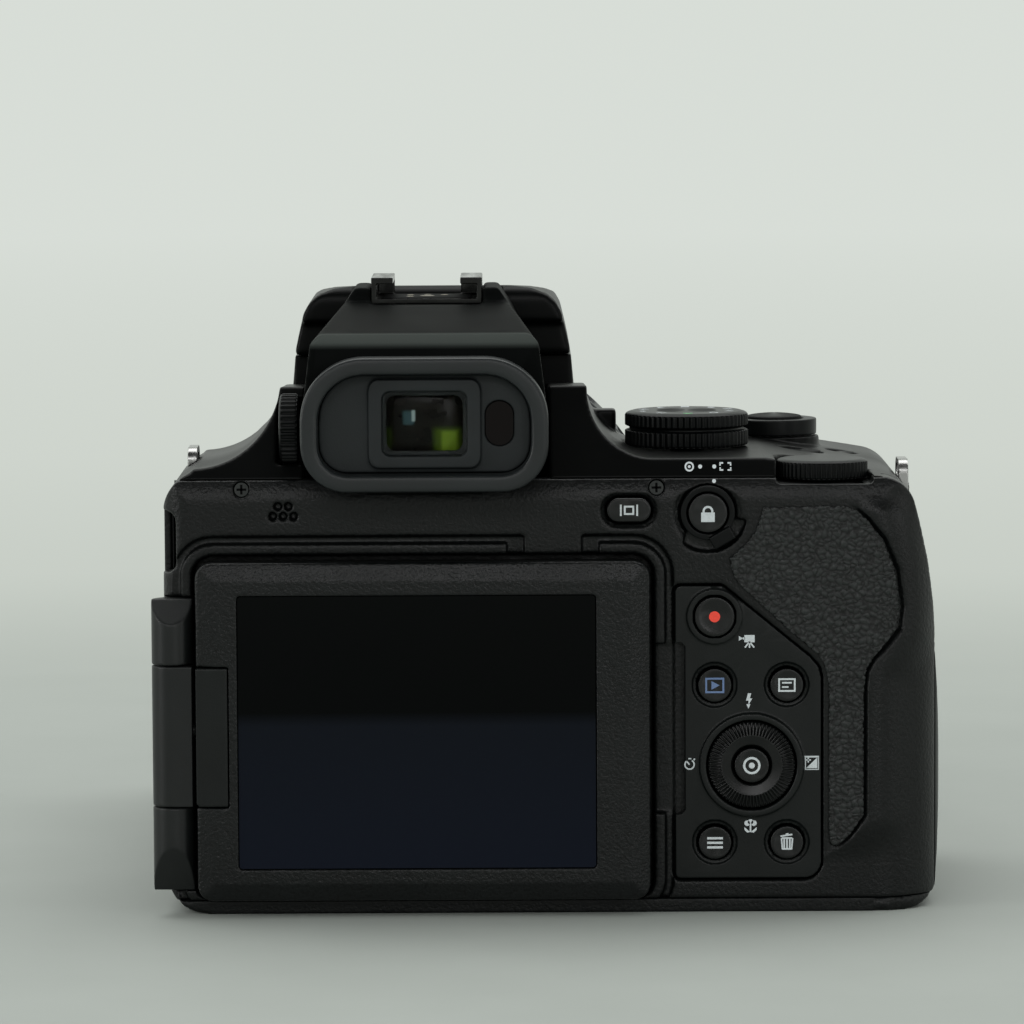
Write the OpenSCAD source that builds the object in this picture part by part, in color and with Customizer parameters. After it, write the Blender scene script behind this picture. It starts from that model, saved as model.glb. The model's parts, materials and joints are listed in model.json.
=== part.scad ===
// Bridge camera with a fixed long zoom, a swing-out screen, a finder and a pop-up flash.
// Millimetres. The origin is the tripod socket on the base. From behind, +X is to the right.
// +Y is the way the lens looks and +Z is up.

/* [Body] */
// From the lens axis to the left side
body_left = 49.5; // [48.5:0.5:54]
// From the lens axis to the right side of the grip
body_right = 94.5; // [91:0.5:100]
// From the tripod axis back to the rear face
body_rear = 26; // [25.5:0.5:27]
// From the tripod axis forward to the front face
body_front = 22; // [20:0.5:26]
// Wall of the moulded covers
wall = 2; // [1.6:0.1:2.2]
// Thickness of the base plate
base_t = 2.5; // [2:0.1:2.8]
// Height of the seam under the top cover
seam_z = 80.5; // [80:0.1:81]
// Height of the deck that carries the dials
deck_z = 84; // [83.5:0.5:88]
// Height of the left shoulder
shoulder_z = 82.5; // [82:0.5:84]
// Height of the shoulder block over the lens neck, at its front
hump_over = 2; // [1.8:0.1:4]
// Half width of the shoulder block to the left
hump_left = 28; // [27:0.5:31]
// Half width of the shoulder block to the right
hump_right = 29; // [28:0.5:32]
// How far the rear of the top cover leans forward
rear_lean = 10; // [6:0.5:14]
// Where the deck begins to fall towards the right
slope_x = 62; // [58:1:66]
// Fall of the deck towards the right, in degrees
slope_deg = 9; // [6:0.5:11]
// Drop of the seam over the grip, below the seam of the top cover
grip_drop = 5.5; // [4.5:0.1:7.5]
// Rounding of the right rear corner
thumb_r = 13; // [10:0.5:15]
// Depth of the rear cover behind the split line
rear_cover_d = 8; // [8:0.25:9]

/* [Grip] */
// Where the grip begins beside the lens
grip_left = 59; // [57:0.5:60]
// Front of the grip
grip_front = 47; // [43:0.5:52]
// Rounding of the grip's front corners
grip_r = 13; // [10:0.5:15]
// Thickness of the grip skin and the thumb pad
skin_t = 1; // [0.6:0.1:1.4]

/* [Lens] */
// Gap between the base and the fixed barrel
barrel_lift = 3.5; // [3:0.1:4.5]
// Outer radius of the fixed barrel
barrel_r = 46.5; // [46:0.1:47.5]
// Wall of the fixed barrel
barrel_wall = 2.9; // [2.6:0.1:3.2]
// Front of the fixed barrel
barrel_front = 131; // [122:0.5:135]
// Step from the fixed barrel to its neck inside the body
neck_step = 3.5; // [3:0.1:5]
// Wall of the zoom barrels
zoom_wall = 1.6; // [1.4:0.1:2]
// Front of the retracted lens
lens_front = 139; // [138:0.5:144]
// Width of the control ring
ring_w = 20; // [14:0.5:26]
// Number of ribs on the control ring
ring_ribs = 60; // [40:1:80]

/* [Screen] */
// Width of the screen unit
screen_w = 83.4; // [81:0.2:84]
// Height of the screen unit
screen_h = 62.6; // [60:0.2:63]
// Thickness of the screen unit
screen_t = 9.7; // [9:0.1:10.2]
// Sideways place of the screen unit
screen_x = -1.5; // [-1.6:0.1:-1]
// Height of the lower edge of the screen unit
screen_low = 3.2; // [3.2:0.1:4]
// Rear face of the screen unit behind the tripod axis
screen_rear = 32; // [31.5:0.1:32.6]
// Width of the glass
glass_w = 65.6; // [60:0.2:67]
// Height of the glass
glass_h = 50.3; // [46:0.1:52]
// Radius of the hinge knuckles
hinge_r = 3.8; // [3.4:0.1:3.8]
// Lower end of the hinge
hinge_low = 4.8; // [4:0.1:6]
// Upper end of the hinge
hinge_high = 58.9; // [56:0.1:60]
// Lower end of the hinge arm
arm_low = 20.7; // [18:0.1:23]
// Upper end of the hinge arm
arm_high = 46.7; // [44:0.1:49]
// Radius of the hinge pin
pin_r = 1.5; // [1.2:0.1:1.8]

/* [Finder] */
// Sideways place of the finder
finder_x = -0.8; // [-1.5:0.1:0.5]
// Rear face of the finder housing behind the tripod axis
finder_rear = 36; // [34:0.5:38]
// Height of the top edge of the finder hood
hood_z = 107.5; // [106:0.5:108]
// Height of the plateau around the accessory shoe over the flash
plateau_over = 0.8; // [0.8:0.1:1.4]
// Outer width of the eyecup
cup_w = 45; // [43:0.5:46]
// Outer height of the eyecup
cup_h = 24.5; // [23:0.5:25.5]
// Depth of the eyecup
cup_d = 6; // [4:0.5:8]
// Wall of the eyecup
cup_wall = 3.2; // [2.6:0.1:3.4]
// Width of the eyepiece window
eye_w = 15.3; // [13:0.1:17]
// Height of the eyepiece window
eye_h = 11.6; // [10:0.1:12.6]
// Radius of the diopter dial
diopter_r = 6.5; // [5.5:0.1:7]

/* [Flash] */
// Front of the flash
flash_front = 62; // [56:0.5:66]
// Gap between the fixed barrel and the flash
flash_gap = 4.3; // [4.3:0.1:5.5]
// Height of the flash
flash_h = 13.2; // [12.6:0.1:14]
// Half width of the flash at its foot
flash_half = 26.5; // [25:0.5:27.5]
// Half width of the flash at its top
flash_top_half = 19; // [17:0.5:20]

/* [Controls] */
// Radius of the record button
record_r = 3.7; // [3:0.05:4]
// Radius of the playback button
playback_r = 3.1; // [2.5:0.05:3.4]
// Radius of the info, menu and delete buttons
small_r = 3.05; // [2.5:0.05:3.3]
// Radius of the selector dial
selector_r = 8.1; // [7.4:0.1:8.4]
// Radius of the button inside the selector dial
ok_r = 3.2; // [2.8:0.1:3.6]
// Radius of the lock button
lock_r = 3.6; // [3.2:0.05:3.7]
// Outer radius of the lever around the lock button
lever_r = 5; // [4.9:0.1:5.3]
// Width of the display button
pill_w = 8.2; // [7:0.1:8.8]
// Height of the display button
pill_h = 4.5; // [3.8:0.1:4.8]
// Radius of the mode dial
mode_r = 11.7; // [10:0.1:12]
// Height of the mode dial
mode_h = 6.6; // [5:0.1:8]
// Radius of the command dial
command_r = 8.6; // [7.6:0.1:9]
// Radius of the zoom lever
zoom_r = 8.2; // [7.8:0.1:8.6]
// Radius of the shutter button
shutter_r = 5.4; // [5:0.1:5.8]
// Radius of the power button
power_r = 4; // [3:0.1:4.6]
// Number of teeth round the mode dial
mode_teeth = 40; // [30:1:48]
// Number of teeth round the command dial
command_teeth = 34; // [24:1:40]
// How far the rear buttons stand out
button_out = 0.9; // [0.6:0.05:1.2]

/* [Mounts] */
// Radius of the tripod thread at its root
tripod_r = 3.175; // [3:0.005:4.8]
// Depth of the tripod thread
tripod_d = 5.5; // [4.5:0.1:6]
// Inner width of the accessory shoe
shoe_w = 18.8; // [18.6:0.1:19]
// Gap between the lips of the accessory shoe
shoe_gap = 12.6; // [12:0.1:13]
// Length of the accessory shoe
shoe_l = 18; // [16:0.5:19]

/* [Clearances] */
// Sideways gap round a button or a door
gap = 0.3; // [0.25:0.01:0.35]
// Radial gap of a shaft in its bore
run = 0.06; // [0.03:0.01:0.1]
// Gap round the screen unit in its well
well_gap = 0.9; // [0.6:0.1:1.2]

/* [Hidden] */
$fn = 64;
far = 200;
// Heights that follow the lens
lens_z = barrel_lift + barrel_r;
neck_r = barrel_r - neck_step;
hump_z = lens_z + neck_r + hump_over;
hump_rear = hump_z + 2;
// The rear face leans forward from here up
fold_z = seam_z - 2.1;
flash_low = lens_z + barrel_r + flash_gap;
flash_top = flash_low + flash_h;
plateau_z = flash_top + plateau_over;
grip_seam = seam_z - grip_drop;
hinge_x = -47.7;
hinge_y = -27;
sx0 = screen_x - screen_w / 2;
sx1 = screen_x + screen_w / 2;
sz0 = screen_low;
sz1 = screen_low + screen_h;
screen_mid = screen_low + screen_h / 2;
glass_x = screen_x - 1.15;
well_y = -screen_rear + screen_t + gap;
bevel_w = 3.3;
bevel_d = 0.9;
rim_ridge = 2;
rim_groove = 1.5;
groove_d = 1.2;
tab_x = 22.5;
tab_w = 10.6;
tab_side = 3.2;
corner_r = 5;
foot_r = 8;
bulge_r = 250;
bulge_z = 25;
left_flank_r = 16;
right_flank_r = 12.3;
shoulder_r = 8.5;
// Rounding of the right shoulder and its middle
right_r = 7;
right_x = body_right - 11.9;
right_z = deck_z - (right_x - slope_x) * tan(slope_deg) - right_r / cos(slope_deg);
right_a = 95 - slope_deg;
split_y = -body_rear + rear_cover_d;
thick_y = -body_rear + 6;
// The control panel and its buttons, measured from the screen's well
panel_x = sx1 + well_gap + rim_ridge + rim_groove;
panel_t = 2;
panel_w = 27.6;
panel_low = 5.9;
panel_high = 61;
panel_cut = 47.4;
panel_step = 7.8;
col_a = panel_x + 7.6;
col_b = panel_x + 20.9;
mid_x = panel_x + 14.4;
record_z = 55;
playback_z = 42.3;
selector_z = 27.4;
menu_z = 13;
upper_z = 74.8;
// The thumb pad's outline fills a box of this place and size
pad_x = panel_x + 10.3;
pad_z = 12.3;
pad_w = 31.5;
pad_h = 63.1;
pill_x = 36.5;
lock_x = 51;
// Places of the case screws
screws_x = [-34.8, 41.6];
screw_z = seam_z - 1.7;
button_deep = 3.4;
press = 0.6;
// Places on the top deck
mode_x = 48.1;
mode_y = 5;
command_x = 72.6;
command_y = -14;
command_z = 79.6;
command_h = 3.7;
zoom_x = 66;
zoom_y = 32;
zoom_h = 3;
power_x = 70;
power_y = 13;
function_x = 78.5;
function_y = 24;
function_r = 2.6;
deck_fall = tan(slope_deg);
power_top = deck_z - (power_x - slope_x) * deck_fall;
function_top = deck_z - (function_x - slope_x) * deck_fall;
// Lens radii, from the outside in
bore_r = barrel_r - barrel_wall;
cam_out = bore_r - gap;
cam_in = cam_out - 1;
outer_out = cam_in - gap;
outer_in = outer_out - zoom_wall;
inner_out = outer_in - gap;
// Radius of the filter thread at its root
filter_r = inner_out - zoom_wall;
inner_in = filter_r - 0.3;
// The second element and its place behind the front one
second_r = 20.8;
baffle_d = 26;
rear_r = 16;
ring_in = barrel_r - 1.2;
ring_out = barrel_r + 0.8;
ring_y = barrel_front - 7 - ring_w;
collar_r = barrel_r + gap + 2.2;
collar_y = 44;
outer_front = barrel_front + 3;
neck_y = 4;
// Finder and flash
plate_y = -finder_rear - 2.6;
cup_z = 91.8;
finder_low = 78.6;
plateau_y = -4;
plateau_half = 13.4;
shoe_z = plateau_z - 3.2;
shoe_plate = 1;
shoe_lip_z = shoe_z + 3.8;
shoe_top = shoe_z + 5;
shoe_side = 1;
bed_front = 15.5;
flash_y = bed_front + 1.2;
flash_hinge_y = flash_y + 3;
flash_hinge_z = flash_top - 3;
flash_pin_r = 1;
ear_x = 12.4;
ear_w = 3;
ear_r = 2.2;
diopter_y = -20;
diopter_z = 89.7;
diopter_w = 3.6;
diopter_x = finder_x - 23.2;
// Doors
door_z0 = 30;
door_z1 = 75;
door_y0 = split_y + gap;
door_y1 = 11;
door_t = 1.5;
door_pin_r = 0.6;
hatch_x0 = grip_left + wall + 1.5;
hatch_x1 = 86;
hatch_y0 = 4;
hatch_y1 = 26;
hatch_pin_r = 0.5;

// Rounded rectangle, r lists the lower left, lower right, upper right and upper left radii
module rect4(x0, y0, x1, y1, r) {
    difference() {
        translate([x0, y0]) square([x1 - x0, y1 - y0]);
        translate([x0 - 1, y0 - 1]) square(r[0] + 1);
        translate([x1 - r[1], y0 - 1]) square(r[1] + 1);
        translate([x1 - r[2], y1 - r[2]]) square(r[2] + 1);
        translate([x0 - 1, y1 - r[3]]) square(r[3] + 1);
    }
    translate([x0 + r[0], y0 + r[0]]) circle(r[0]);
    translate([x1 - r[1], y0 + r[1]]) circle(r[1]);
    translate([x1 - r[2], y1 - r[2]]) circle(r[2]);
    translate([x0 + r[3], y1 - r[3]]) circle(r[3]);
}

module box(x0, y0, z0, x1, y1, z1) {
    translate([x0, y0, z0]) cube([x1 - x0, y1 - y0, z1 - z0]);
}

// A drawing in X and Z, drawn out along Y
module slab_y(y0, y1) {
    translate([0, y1, 0]) rotate([90, 0, 0]) linear_extrude(y1 - y0) children();
}

// A drawing in Y and Z, drawn out along X
module slab_x(x0, x1) {
    translate([x0, 0, 0]) rotate([90, 0, 90]) linear_extrude(x1 - x0) children();
}

module rod_x(x0, x1, y, z, r) {
    translate([x0, y, z]) rotate([0, 90, 0]) cylinder(r = r, h = x1 - x0);
}

module rod_y(x, z, r, y0, y1) {
    translate([x, y0, z]) rotate([-90, 0, 0]) cylinder(r = r, h = y1 - y0);
}

module rod_z(x, y, r, z0, z1) {
    translate([x, y, z0]) cylinder(r = r, h = z1 - z0);
}

// A drawing of radius and Y, turned about the lens axis
module lens_turn() {
    translate([0, 0, lens_z]) rotate([-90, 0, 0]) rotate_extrude($fn = 128) children();
}

module lens_rod(r, y0, y1) {
    rod_y(0, lens_z, r, y0, y1);
}

// Outline of the body from above, drawn in by i
module body_plan(i) {
    rect4(-body_left + i, -body_rear + i, body_right - i, body_front - i,
        [corner_r - i, thumb_r - i, 3, corner_r - i]);
    rect4(grip_left + i, -body_rear + i, body_right - i, grip_front - i,
        [3, thumb_r - i, grip_r - i, grip_r - i]);
}

// Outline of the body from behind, drawn in by i
module body_elevation(i) {
    left_c = -hump_left - sqrt(pow(left_flank_r, 2) - pow(shoulder_z + left_flank_r - hump_rear, 2));
    right_c = hump_right + right_flank_r;
    intersection() {
        union() {
            rect4(-body_left + i, i, 20, shoulder_z - i, [foot_r - i, 1, 1, shoulder_r - i]);
            difference() {
                rect4(0, i, body_right - i, deck_z - i, [1, foot_r - 1 - i, 8 - i, 1]);
                translate([slope_x, deck_z - i]) rotate(-slope_deg) square([60, 20]);
                translate([right_x, right_z]) polygon(concat(
                    [for (k = [0:12]) (right_r - i) * [cos(right_a - k * (right_a - 11) / 12),
                        sin(right_a - k * (right_a - 11) / 12)]],
                    [[30, 5.8], [30, 20], 14 * [cos(right_a), sin(right_a)]]));
            }
            difference() {
                translate([left_c, 60]) square([right_c - left_c, hump_rear - i - 60]);
                translate([left_c, shoulder_z + left_flank_r]) circle(left_flank_r + i);
                translate([right_c, deck_z + right_flank_r]) circle(right_flank_r + i);
            }
        }
        translate([body_right - bulge_r, bulge_z]) circle(bulge_r - i, $fn = 256);
    }
}

// Outline of the body from the side, drawn in by i
module body_profile(i) {
    lean = rear_lean / 16.5;
    top = hump_rear - fold_z - i;
    polygon([[-body_rear + i, i], [-body_rear + i, fold_z], [-body_rear + i + top * lean, hump_rear - i],
        [body_front, hump_z - i], [grip_front - i, hump_z - i], [grip_front - i, i]]);
}

module body_solid(i) {
    intersection() {
        linear_extrude(far) body_plan(i);
        slab_y(-far / 2, far / 2) body_elevation(i);
        slab_x(-far / 2, far / 2) body_profile(i);
    }
}

module body_shell() {
    difference() {
        body_solid(0);
        body_solid(wall);
    }
}

// The thumb pad's outline on the rear
module pad_outline() {
    translate([pad_x, pad_z]) scale([pad_w, pad_h]) polygon([[0.2, 0.997], [0.676, 1], [0.74, 0.99],
        [0.81, 0.959], [0.902, 0.9], [0.975, 0.808], [1, 0.7], [0.987, 0.642], [0.927, 0.601],
        [0.848, 0.556], [0.8, 0.513], [0.791, 0.445], [0.789, 0.09], [0.702, 0.029], [0.632, 0],
        [0.594, 0], [0.581, 0.014], [0.581, 0.472], [0.565, 0.52], [0.527, 0.56], [0.365, 0.628],
        [0.044, 0.777], [0.01, 0.82], [0, 0.849], [0.083, 0.884], [0.156, 0.929], [0.187, 0.973]]);
}

module panel_outline(i) {
    right = panel_x + panel_w;
    difference() {
        rect4(panel_x + i, panel_low + i, right - i, panel_high - i, [1, 3.6 - i, 1, 1]);
        polygon([[panel_x + panel_step - i, panel_high + 1], [right - 2 - i, panel_cut],
            [right - 0.5 - i, panel_cut - 1.8], [right - i, panel_cut - 3.8], [right + 1, panel_cut - 3.8],
            [right + 1, panel_high + 1]]);
    }
}

// The notch beside the screen that a finger lifts it by
module side_notch(i) {
    rect4(sx1, 18.4 - i, panel_x + 1.9 + i, 50 + i, [0.4, 1.2, 1.2, 0.4]);
}

// Rounded line around the screen's well, d outside the screen unit
module well_line(d) {
    rect4(sx0 - d, sz0 - d, sx1 + d, sz1 + d, [3 + d, 3 + d, 3 + d, 3 + d]);
}

module rear_holes(extra) {
    r = pill_h / 2 + extra;
    translate([pill_x, upper_z]) rect4(-pill_w / 2 - extra, -r, pill_w / 2 + extra, r, [r, r, r, r]);
}

module rear_cover() {
    color([0.1, 0.1, 0.11]) difference() {
        union() {
            intersection() {
                body_shell();
                box(-far, -far, base_t, far, split_y, seam_z);
            }
            intersection() {
                body_solid(0);
                box(-far, -far, base_t, panel_x + panel_w + 3, thick_y, seam_z);
            }
        }
        slab_y(-far, well_y) well_line(well_gap);
        slab_y(-far, -body_rear + groove_d) difference() {
            well_line(well_gap + rim_ridge + rim_groove);
            difference() {
                well_line(well_gap + rim_ridge);
                translate([tab_x - tab_w / 2 - tab_side, 40]) square([tab_w + 2 * tab_side, 60]);
            }
            translate([tab_x - tab_w / 2, 40]) square([tab_w, 60]);
        }
        slab_y(-far, -body_rear + 1.5) side_notch(0);
        slab_y(-far, -body_rear + panel_t) panel_outline(0);
        rod_y(col_a, record_z, record_r + gap, -far, -body_rear + button_deep + press + gap);
        rod_y(col_a, playback_z, playback_r + gap, -far, -body_rear + button_deep + press + gap);
        rod_y(col_b, playback_z, small_r + gap, -far, -body_rear + button_deep + press + gap);
        rod_y(col_a, menu_z, small_r + gap, -far, -body_rear + button_deep + press + gap);
        rod_y(col_b, menu_z, small_r + gap, -far, -body_rear + button_deep + press + gap);
        rod_y(mid_x, selector_z, selector_r + gap, -far, -body_rear + button_deep + gap);
        rod_y(mid_x, selector_z, ok_r + gap, -far, -body_rear + button_deep + 1.6);
        slab_y(-far, -body_rear + button_deep + press + gap) rear_holes(gap);
        slab_y(-far, -body_rear + 0.5) rear_holes(1.1);
        rod_y(lock_x, upper_z - 0.6, lever_r + 1.3, -far, -body_rear + 0.4);
        rod_y(lock_x, upper_z - 0.6, lever_r + gap, -far, -body_rear + 1.4);
        rod_y(lock_x, upper_z - 0.6, lock_r + gap, -far, -body_rear + button_deep + press + gap);
        lever_sweep();
        hinge_pocket();
        command_room();
        intersection() {
            body_solid(wall);
            rod_z(command_x, command_y, command_r + 2 + gap, command_z - 3.5, far);
        }
        slab_y(-far, split_y + 1) rect4(-body_left - 3, 63.3, -body_left + 2.6, 74.9, [2, 2, 2, 2]);
        for (p = [[-0.95, 0.9], [0.95, 0.9], [-1.9, -0.9], [0, -0.9], [1.9, -0.9]])
            rod_y(-27.1 + p[0], upper_z + p[1], 0.8, -far, -body_rear + 1.5);
        for (x = screws_x) rod_y(x, screw_z, 1.5, -far, -body_rear + 2);
        for (x = screws_x) rod_y(x, screw_z, 0.8, -far, -body_rear + 4.5);
    }
}

// Room for the focus lever's tab over its whole turn
module lever_sweep() {
    intersection() {
        rod_y(lock_x, upper_z - 0.6, lever_r + 2.3, -far, -body_rear + 1.4);
        slab_y(-far, far) polygon([[lock_x - 3.4, upper_z - 0.6], [lock_x + 12, upper_z - 2.6],
            [lock_x + 12, upper_z - 13], [lock_x - 6, upper_z - 13]]);
    }
}

module hinge_pocket() {
    box(-far, -far, hinge_low - 0.2, hinge_x + hinge_r + 0.3, thick_y - 1, hinge_high + 0.2);
}

module hinge_bracket() {
    back = thick_y - 1;
    color([0.09, 0.09, 0.1]) difference() {
        union() {
            for (z = [[hinge_low, arm_low - 0.2], [arm_high + 0.2, hinge_high]]) {
                rod_z(hinge_x, hinge_y, hinge_r, z[0], z[1]);
                box(hinge_x - 1.8, hinge_y, z[0], hinge_x + hinge_r, back, z[1]);
            }
            box(hinge_x - 1.8, hinge_y + hinge_r + 0.5, hinge_low, hinge_x + hinge_r, back, hinge_high);
        }
        rod_z(hinge_x, hinge_y, pin_r + run, hinge_low + 4.6, hinge_high - 2.8);
        slab_x(-far, far) {
            polygon([[hinge_y, hinge_high], [hinge_y - 6, hinge_high - 7.1], [hinge_y - 6, hinge_high + 1],
                [hinge_y, hinge_high + 1]]);
            polygon([[hinge_y, hinge_low], [hinge_y - 6, hinge_low + 13], [hinge_y - 6, hinge_low - 1],
                [hinge_y, hinge_low - 1]]);
        }
    }
}

module hinge_arm() {
    edge = sx0 - 0.7;
    color([0.1, 0.1, 0.11]) difference() {
        union() {
            rod_z(hinge_x, hinge_y, hinge_r, arm_low, arm_high);
            box(hinge_x, hinge_y - hinge_r, arm_low, edge, hinge_y + hinge_r - 0.4, arm_high);
        }
        rod_z(hinge_x, hinge_y, pin_r + run, 0, far);
        rod_x(hinge_x + pin_r + 0.8, far, hinge_y, screen_mid, 1.4 + run);
    }
}

module swivel_bracket() {
    color([0.12, 0.12, 0.13]) {
        difference() {
            box(sx0, -screen_rear - 0.1, arm_low + 0.2, sx0 + 5.8, -screen_rear + 6, arm_high - 0.2);
            box(sx0 - 1, -far, 0, sx0 + 0.4, far, arm_low + 0.6);
        }
        rod_x(hinge_x + pin_r + 1, sx0 + 1, hinge_y, screen_mid, 1.4);
    }
}

module screen_line(i) {
    rect4(sx0 + i, sz0 + i, sx1 - i, sz1 - i, [3 - i, 3 - i, 3 - i, 3 - i]);
}

module glass_line(i) {
    rect4(glass_x - glass_w / 2 - i, screen_mid - glass_h / 2 - i, glass_x + glass_w / 2 + i,
        screen_mid + glass_h / 2 + i, [0.6, 0.6, 0.6, 0.6]);
}

module screen_bezel() {
    color([0.1, 0.1, 0.11]) difference() {
        slab_y(-screen_rear, -screen_rear + 5) screen_line(0);
        slab_y(-far, -screen_rear + 1.5) glass_line(0.12);
        slab_y(-far, far) glass_line(-1.2);
        box(-far, -far, arm_low, sx0 + 6, far, arm_high);
        for (k = [0, 1]) mirror([0, 0, k]) translate([0, -screen_rear, k == 0 ? sz1 : -sz0])
            slab_x(-far, far) bevel_line();
        for (k = [0, 1]) mirror([k, 0, 0]) translate([k == 0 ? sx1 : -sx0, -screen_rear, 0])
            linear_extrude(far) mirror([1, -1, 0]) bevel_line();
    }
}

// What the bevel takes off, drawn from the edge of the rear face
module bevel_line() {
    polygon([[0, -bevel_w], [bevel_d, 0], [1.3 * bevel_d, 0.3 * bevel_w], [-3, 0.3 * bevel_w], [-3, -bevel_w]]);
}

module screen_back() {
    color([0.09, 0.09, 0.1]) difference() {
        slab_y(-screen_rear + 5, -screen_rear + screen_t) screen_line(0.3);
        slab_y(-screen_rear + 4, -screen_rear + screen_t - 1.6)
            rect4(sx0 + 9, sz0 + 2, sx1 - 2, sz1 - 2, [1, 1, 1, 1]);
        box(-far, -far, arm_low, sx0 + 6, -screen_rear + 6.8, arm_high);
    }
}

module screen_glass() {
    color([0.04, 0.05, 0.1]) slab_y(-screen_rear + 0.3, -screen_rear + 1.5) glass_line(0);
}

module control_panel() {
    y1 = -body_rear + panel_t;
    color([0.1, 0.1, 0.11]) difference() {
        union() {
            slab_y(-body_rear, y1) panel_outline(0.35);
            rod_y(mid_x, selector_z, selector_r + 1.5, -body_rear - 0.7, -body_rear + 0.5);
            rod_y(col_a, record_z, record_r + 1.4, -body_rear - 0.4, -body_rear + 0.5);
        }
        slab_y(-far, far) side_notch(0.2);
        rod_y(col_a, record_z, record_r + gap, -far, far);
        rod_y(col_a, playback_z, playback_r + gap, -far, far);
        rod_y(col_b, playback_z, small_r + gap, -far, far);
        rod_y(col_a, menu_z, small_r + gap, -far, far);
        rod_y(col_b, menu_z, small_r + gap, -far, far);
        rod_y(mid_x, selector_z, selector_r + gap, -far, far);
        for (p = [[col_a, playback_z, playback_r], [col_b, playback_z, small_r],
                [col_a, menu_z, small_r], [col_b, menu_z, small_r]])
            rod_y(p[0], p[1], p[2] + 1.1, -far, -body_rear + 0.4);
    }
}

module thumb_pad() {
    color([0.08, 0.08, 0.08]) intersection() {
        linear_extrude(far) difference() {
            body_plan(-skin_t);
            body_plan(0);
        }
        slab_y(-far, split_y - 1) pad_outline();
    }
}

module grip_skin() {
    color([0.08, 0.08, 0.08]) intersection() {
        linear_extrude(far) difference() {
            body_plan(-skin_t);
            body_plan(0);
        }
        slab_x(0, far) rect4(body_front + 3, 10, grip_front + 5, grip_seam - 1, [6, 1, 1, 8]);
        box(grip_left - 5, -far, 0, body_right - 1.5, far, far);
    }
}

// Deck bosses and pockets are shared by the cover and the dials. A small block stands beside
// the mode dial
module top_cover() {
    color([0.08, 0.08, 0.09]) difference() {
        union() {
            intersection() {
                body_shell();
                union() {
                    box(-far, -far, seam_z, far, far, far);
                    box(grip_left + 1, split_y, grip_seam, far, far, far);
                }
            }
            intersection() {
                body_solid(0);
                union() {
                    box(command_x - command_r - 2.5, -far, seam_z, command_x + command_r + 2.5,
                        command_y + command_r + 2.5, far);
                    rod_z(mode_x, mode_y, 6, seam_z, far);
                    rod_z(power_x, power_y, power_r + 2, seam_z - 3, far);
                    rod_z(function_x, function_y, function_r + 2, seam_z - 3, far);
                }
            }
            intersection() {
                body_solid(wall + gap);
                rod_z(command_x, command_y, command_r + 2, command_z - 3.2, far);
            }
            box(hump_right + 1.4, body_front - 6, deck_z - 1, hump_right + 6, body_front - 1, deck_z + 6.2);
            intersection() {
                rod_z(zoom_x, zoom_y, zoom_r + 0.5, seam_z, deck_z);
                linear_extrude(far) body_plan(0);
            }
        }
        finder_room();
        command_room();
        rod_z(command_x, command_y, 2 + run, 0, far);
        rod_z(mode_x, mode_y, 3 + run, 0, far);
        rod_z(mode_x, mode_y, mode_r + 0.6, deck_z, far);
        rod_z(zoom_x, zoom_y, shutter_r - 1.5 + gap, 0, far);
        rod_z(power_x, power_y, power_r + gap, power_top - 3, far);
        rod_z(function_x, function_y, function_r + gap, function_top - 3, far);
        rod_x(diopter_x - diopter_w - 0.8, finder_x - 20, diopter_y, diopter_z, diopter_r + gap + 0.2);
        lens_rod(neck_r + gap, 0, far);
    }
}

// The slot that shows the rear of the command dial
module command_room() {
    rod_z(command_x, command_y, command_r + gap, command_z - gap, far);
    box(command_x - command_r - gap, -far, command_z - gap, command_x + command_r + gap, command_y, far);
}

// The space that the finder housing takes out of the top cover
module finder_room() {
    box(finder_x - 22.6, -far, 0, finder_x + 22.6, bed_front, far);
}

module front_cover() {
    color([0.08, 0.08, 0.09]) difference() {
        union() {
            intersection() {
                body_shell();
                difference() {
                    box(-far, split_y, base_t, far, far, seam_z);
                    box(grip_left + 1, -far, grip_seam, far, far, far);
                }
            }
            intersection() {
                lens_rod(collar_r, body_front, collar_y);
                box(-far, -far, base_t, far, far, far);
            }
            slab_y(body_front, flash_front) polygon([[-flash_half - 2, lens_z + 28],
                [flash_half + 2, lens_z + 28], [flash_half, flash_low - gap],
                [-flash_half, flash_low - gap]]);
        }
        lens_rod(barrel_r + gap, body_front, far);
        lens_rod(neck_r + gap, 0, far);
        box(-far, door_y0 - gap, door_z0 - gap, -body_left + door_t / 2, door_y1 + door_t / 2 + gap + 0.2,
            door_z1 + gap);
        box(-far, door_y0 - gap, door_z0 - gap, -body_left + door_t, door_y1 + gap, door_z1 + gap);
        box(-far, door_y0 + 3, door_z0 + 3, -30, neck_y - 1.6, door_z1 - 9);
        rod_z(-body_left + door_t / 2, door_y1, door_t / 2 + gap, door_z0 - gap, door_z1 + gap);
        rod_z(-body_left + door_t / 2, door_y1, door_pin_r + run, door_z0 - 3, door_z1 + 3);
    }
}

module base_plate() {
    color([0.1, 0.1, 0.1]) difference() {
        union() {
            intersection() {
                body_solid(0);
                box(-far, -far, 0, far, far, base_t);
            }
            box(-16, 0, 0, 16, collar_y, base_t);
        }
        lens_rod(barrel_r + gap, body_front, far);
        rod_z(0, 0, 5, -1, far);
        box(hatch_x0 - gap, hatch_y0 - gap, -1, hatch_x1 + gap, hatch_y1 + gap, far);
        box(hatch_x0 - gap, hatch_y1 - 1, -1, hatch_x1 + gap, hatch_y1 + 1.4, 1.1);
        rod_x(hatch_x0 - gap, hatch_x1 + gap, hatch_y1, 1.1, 1.1 + gap);
        rod_x(hatch_x0 - 3, hatch_x1 + 3, hatch_y1, 1.1, hatch_pin_r + run);
    }
}

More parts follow.
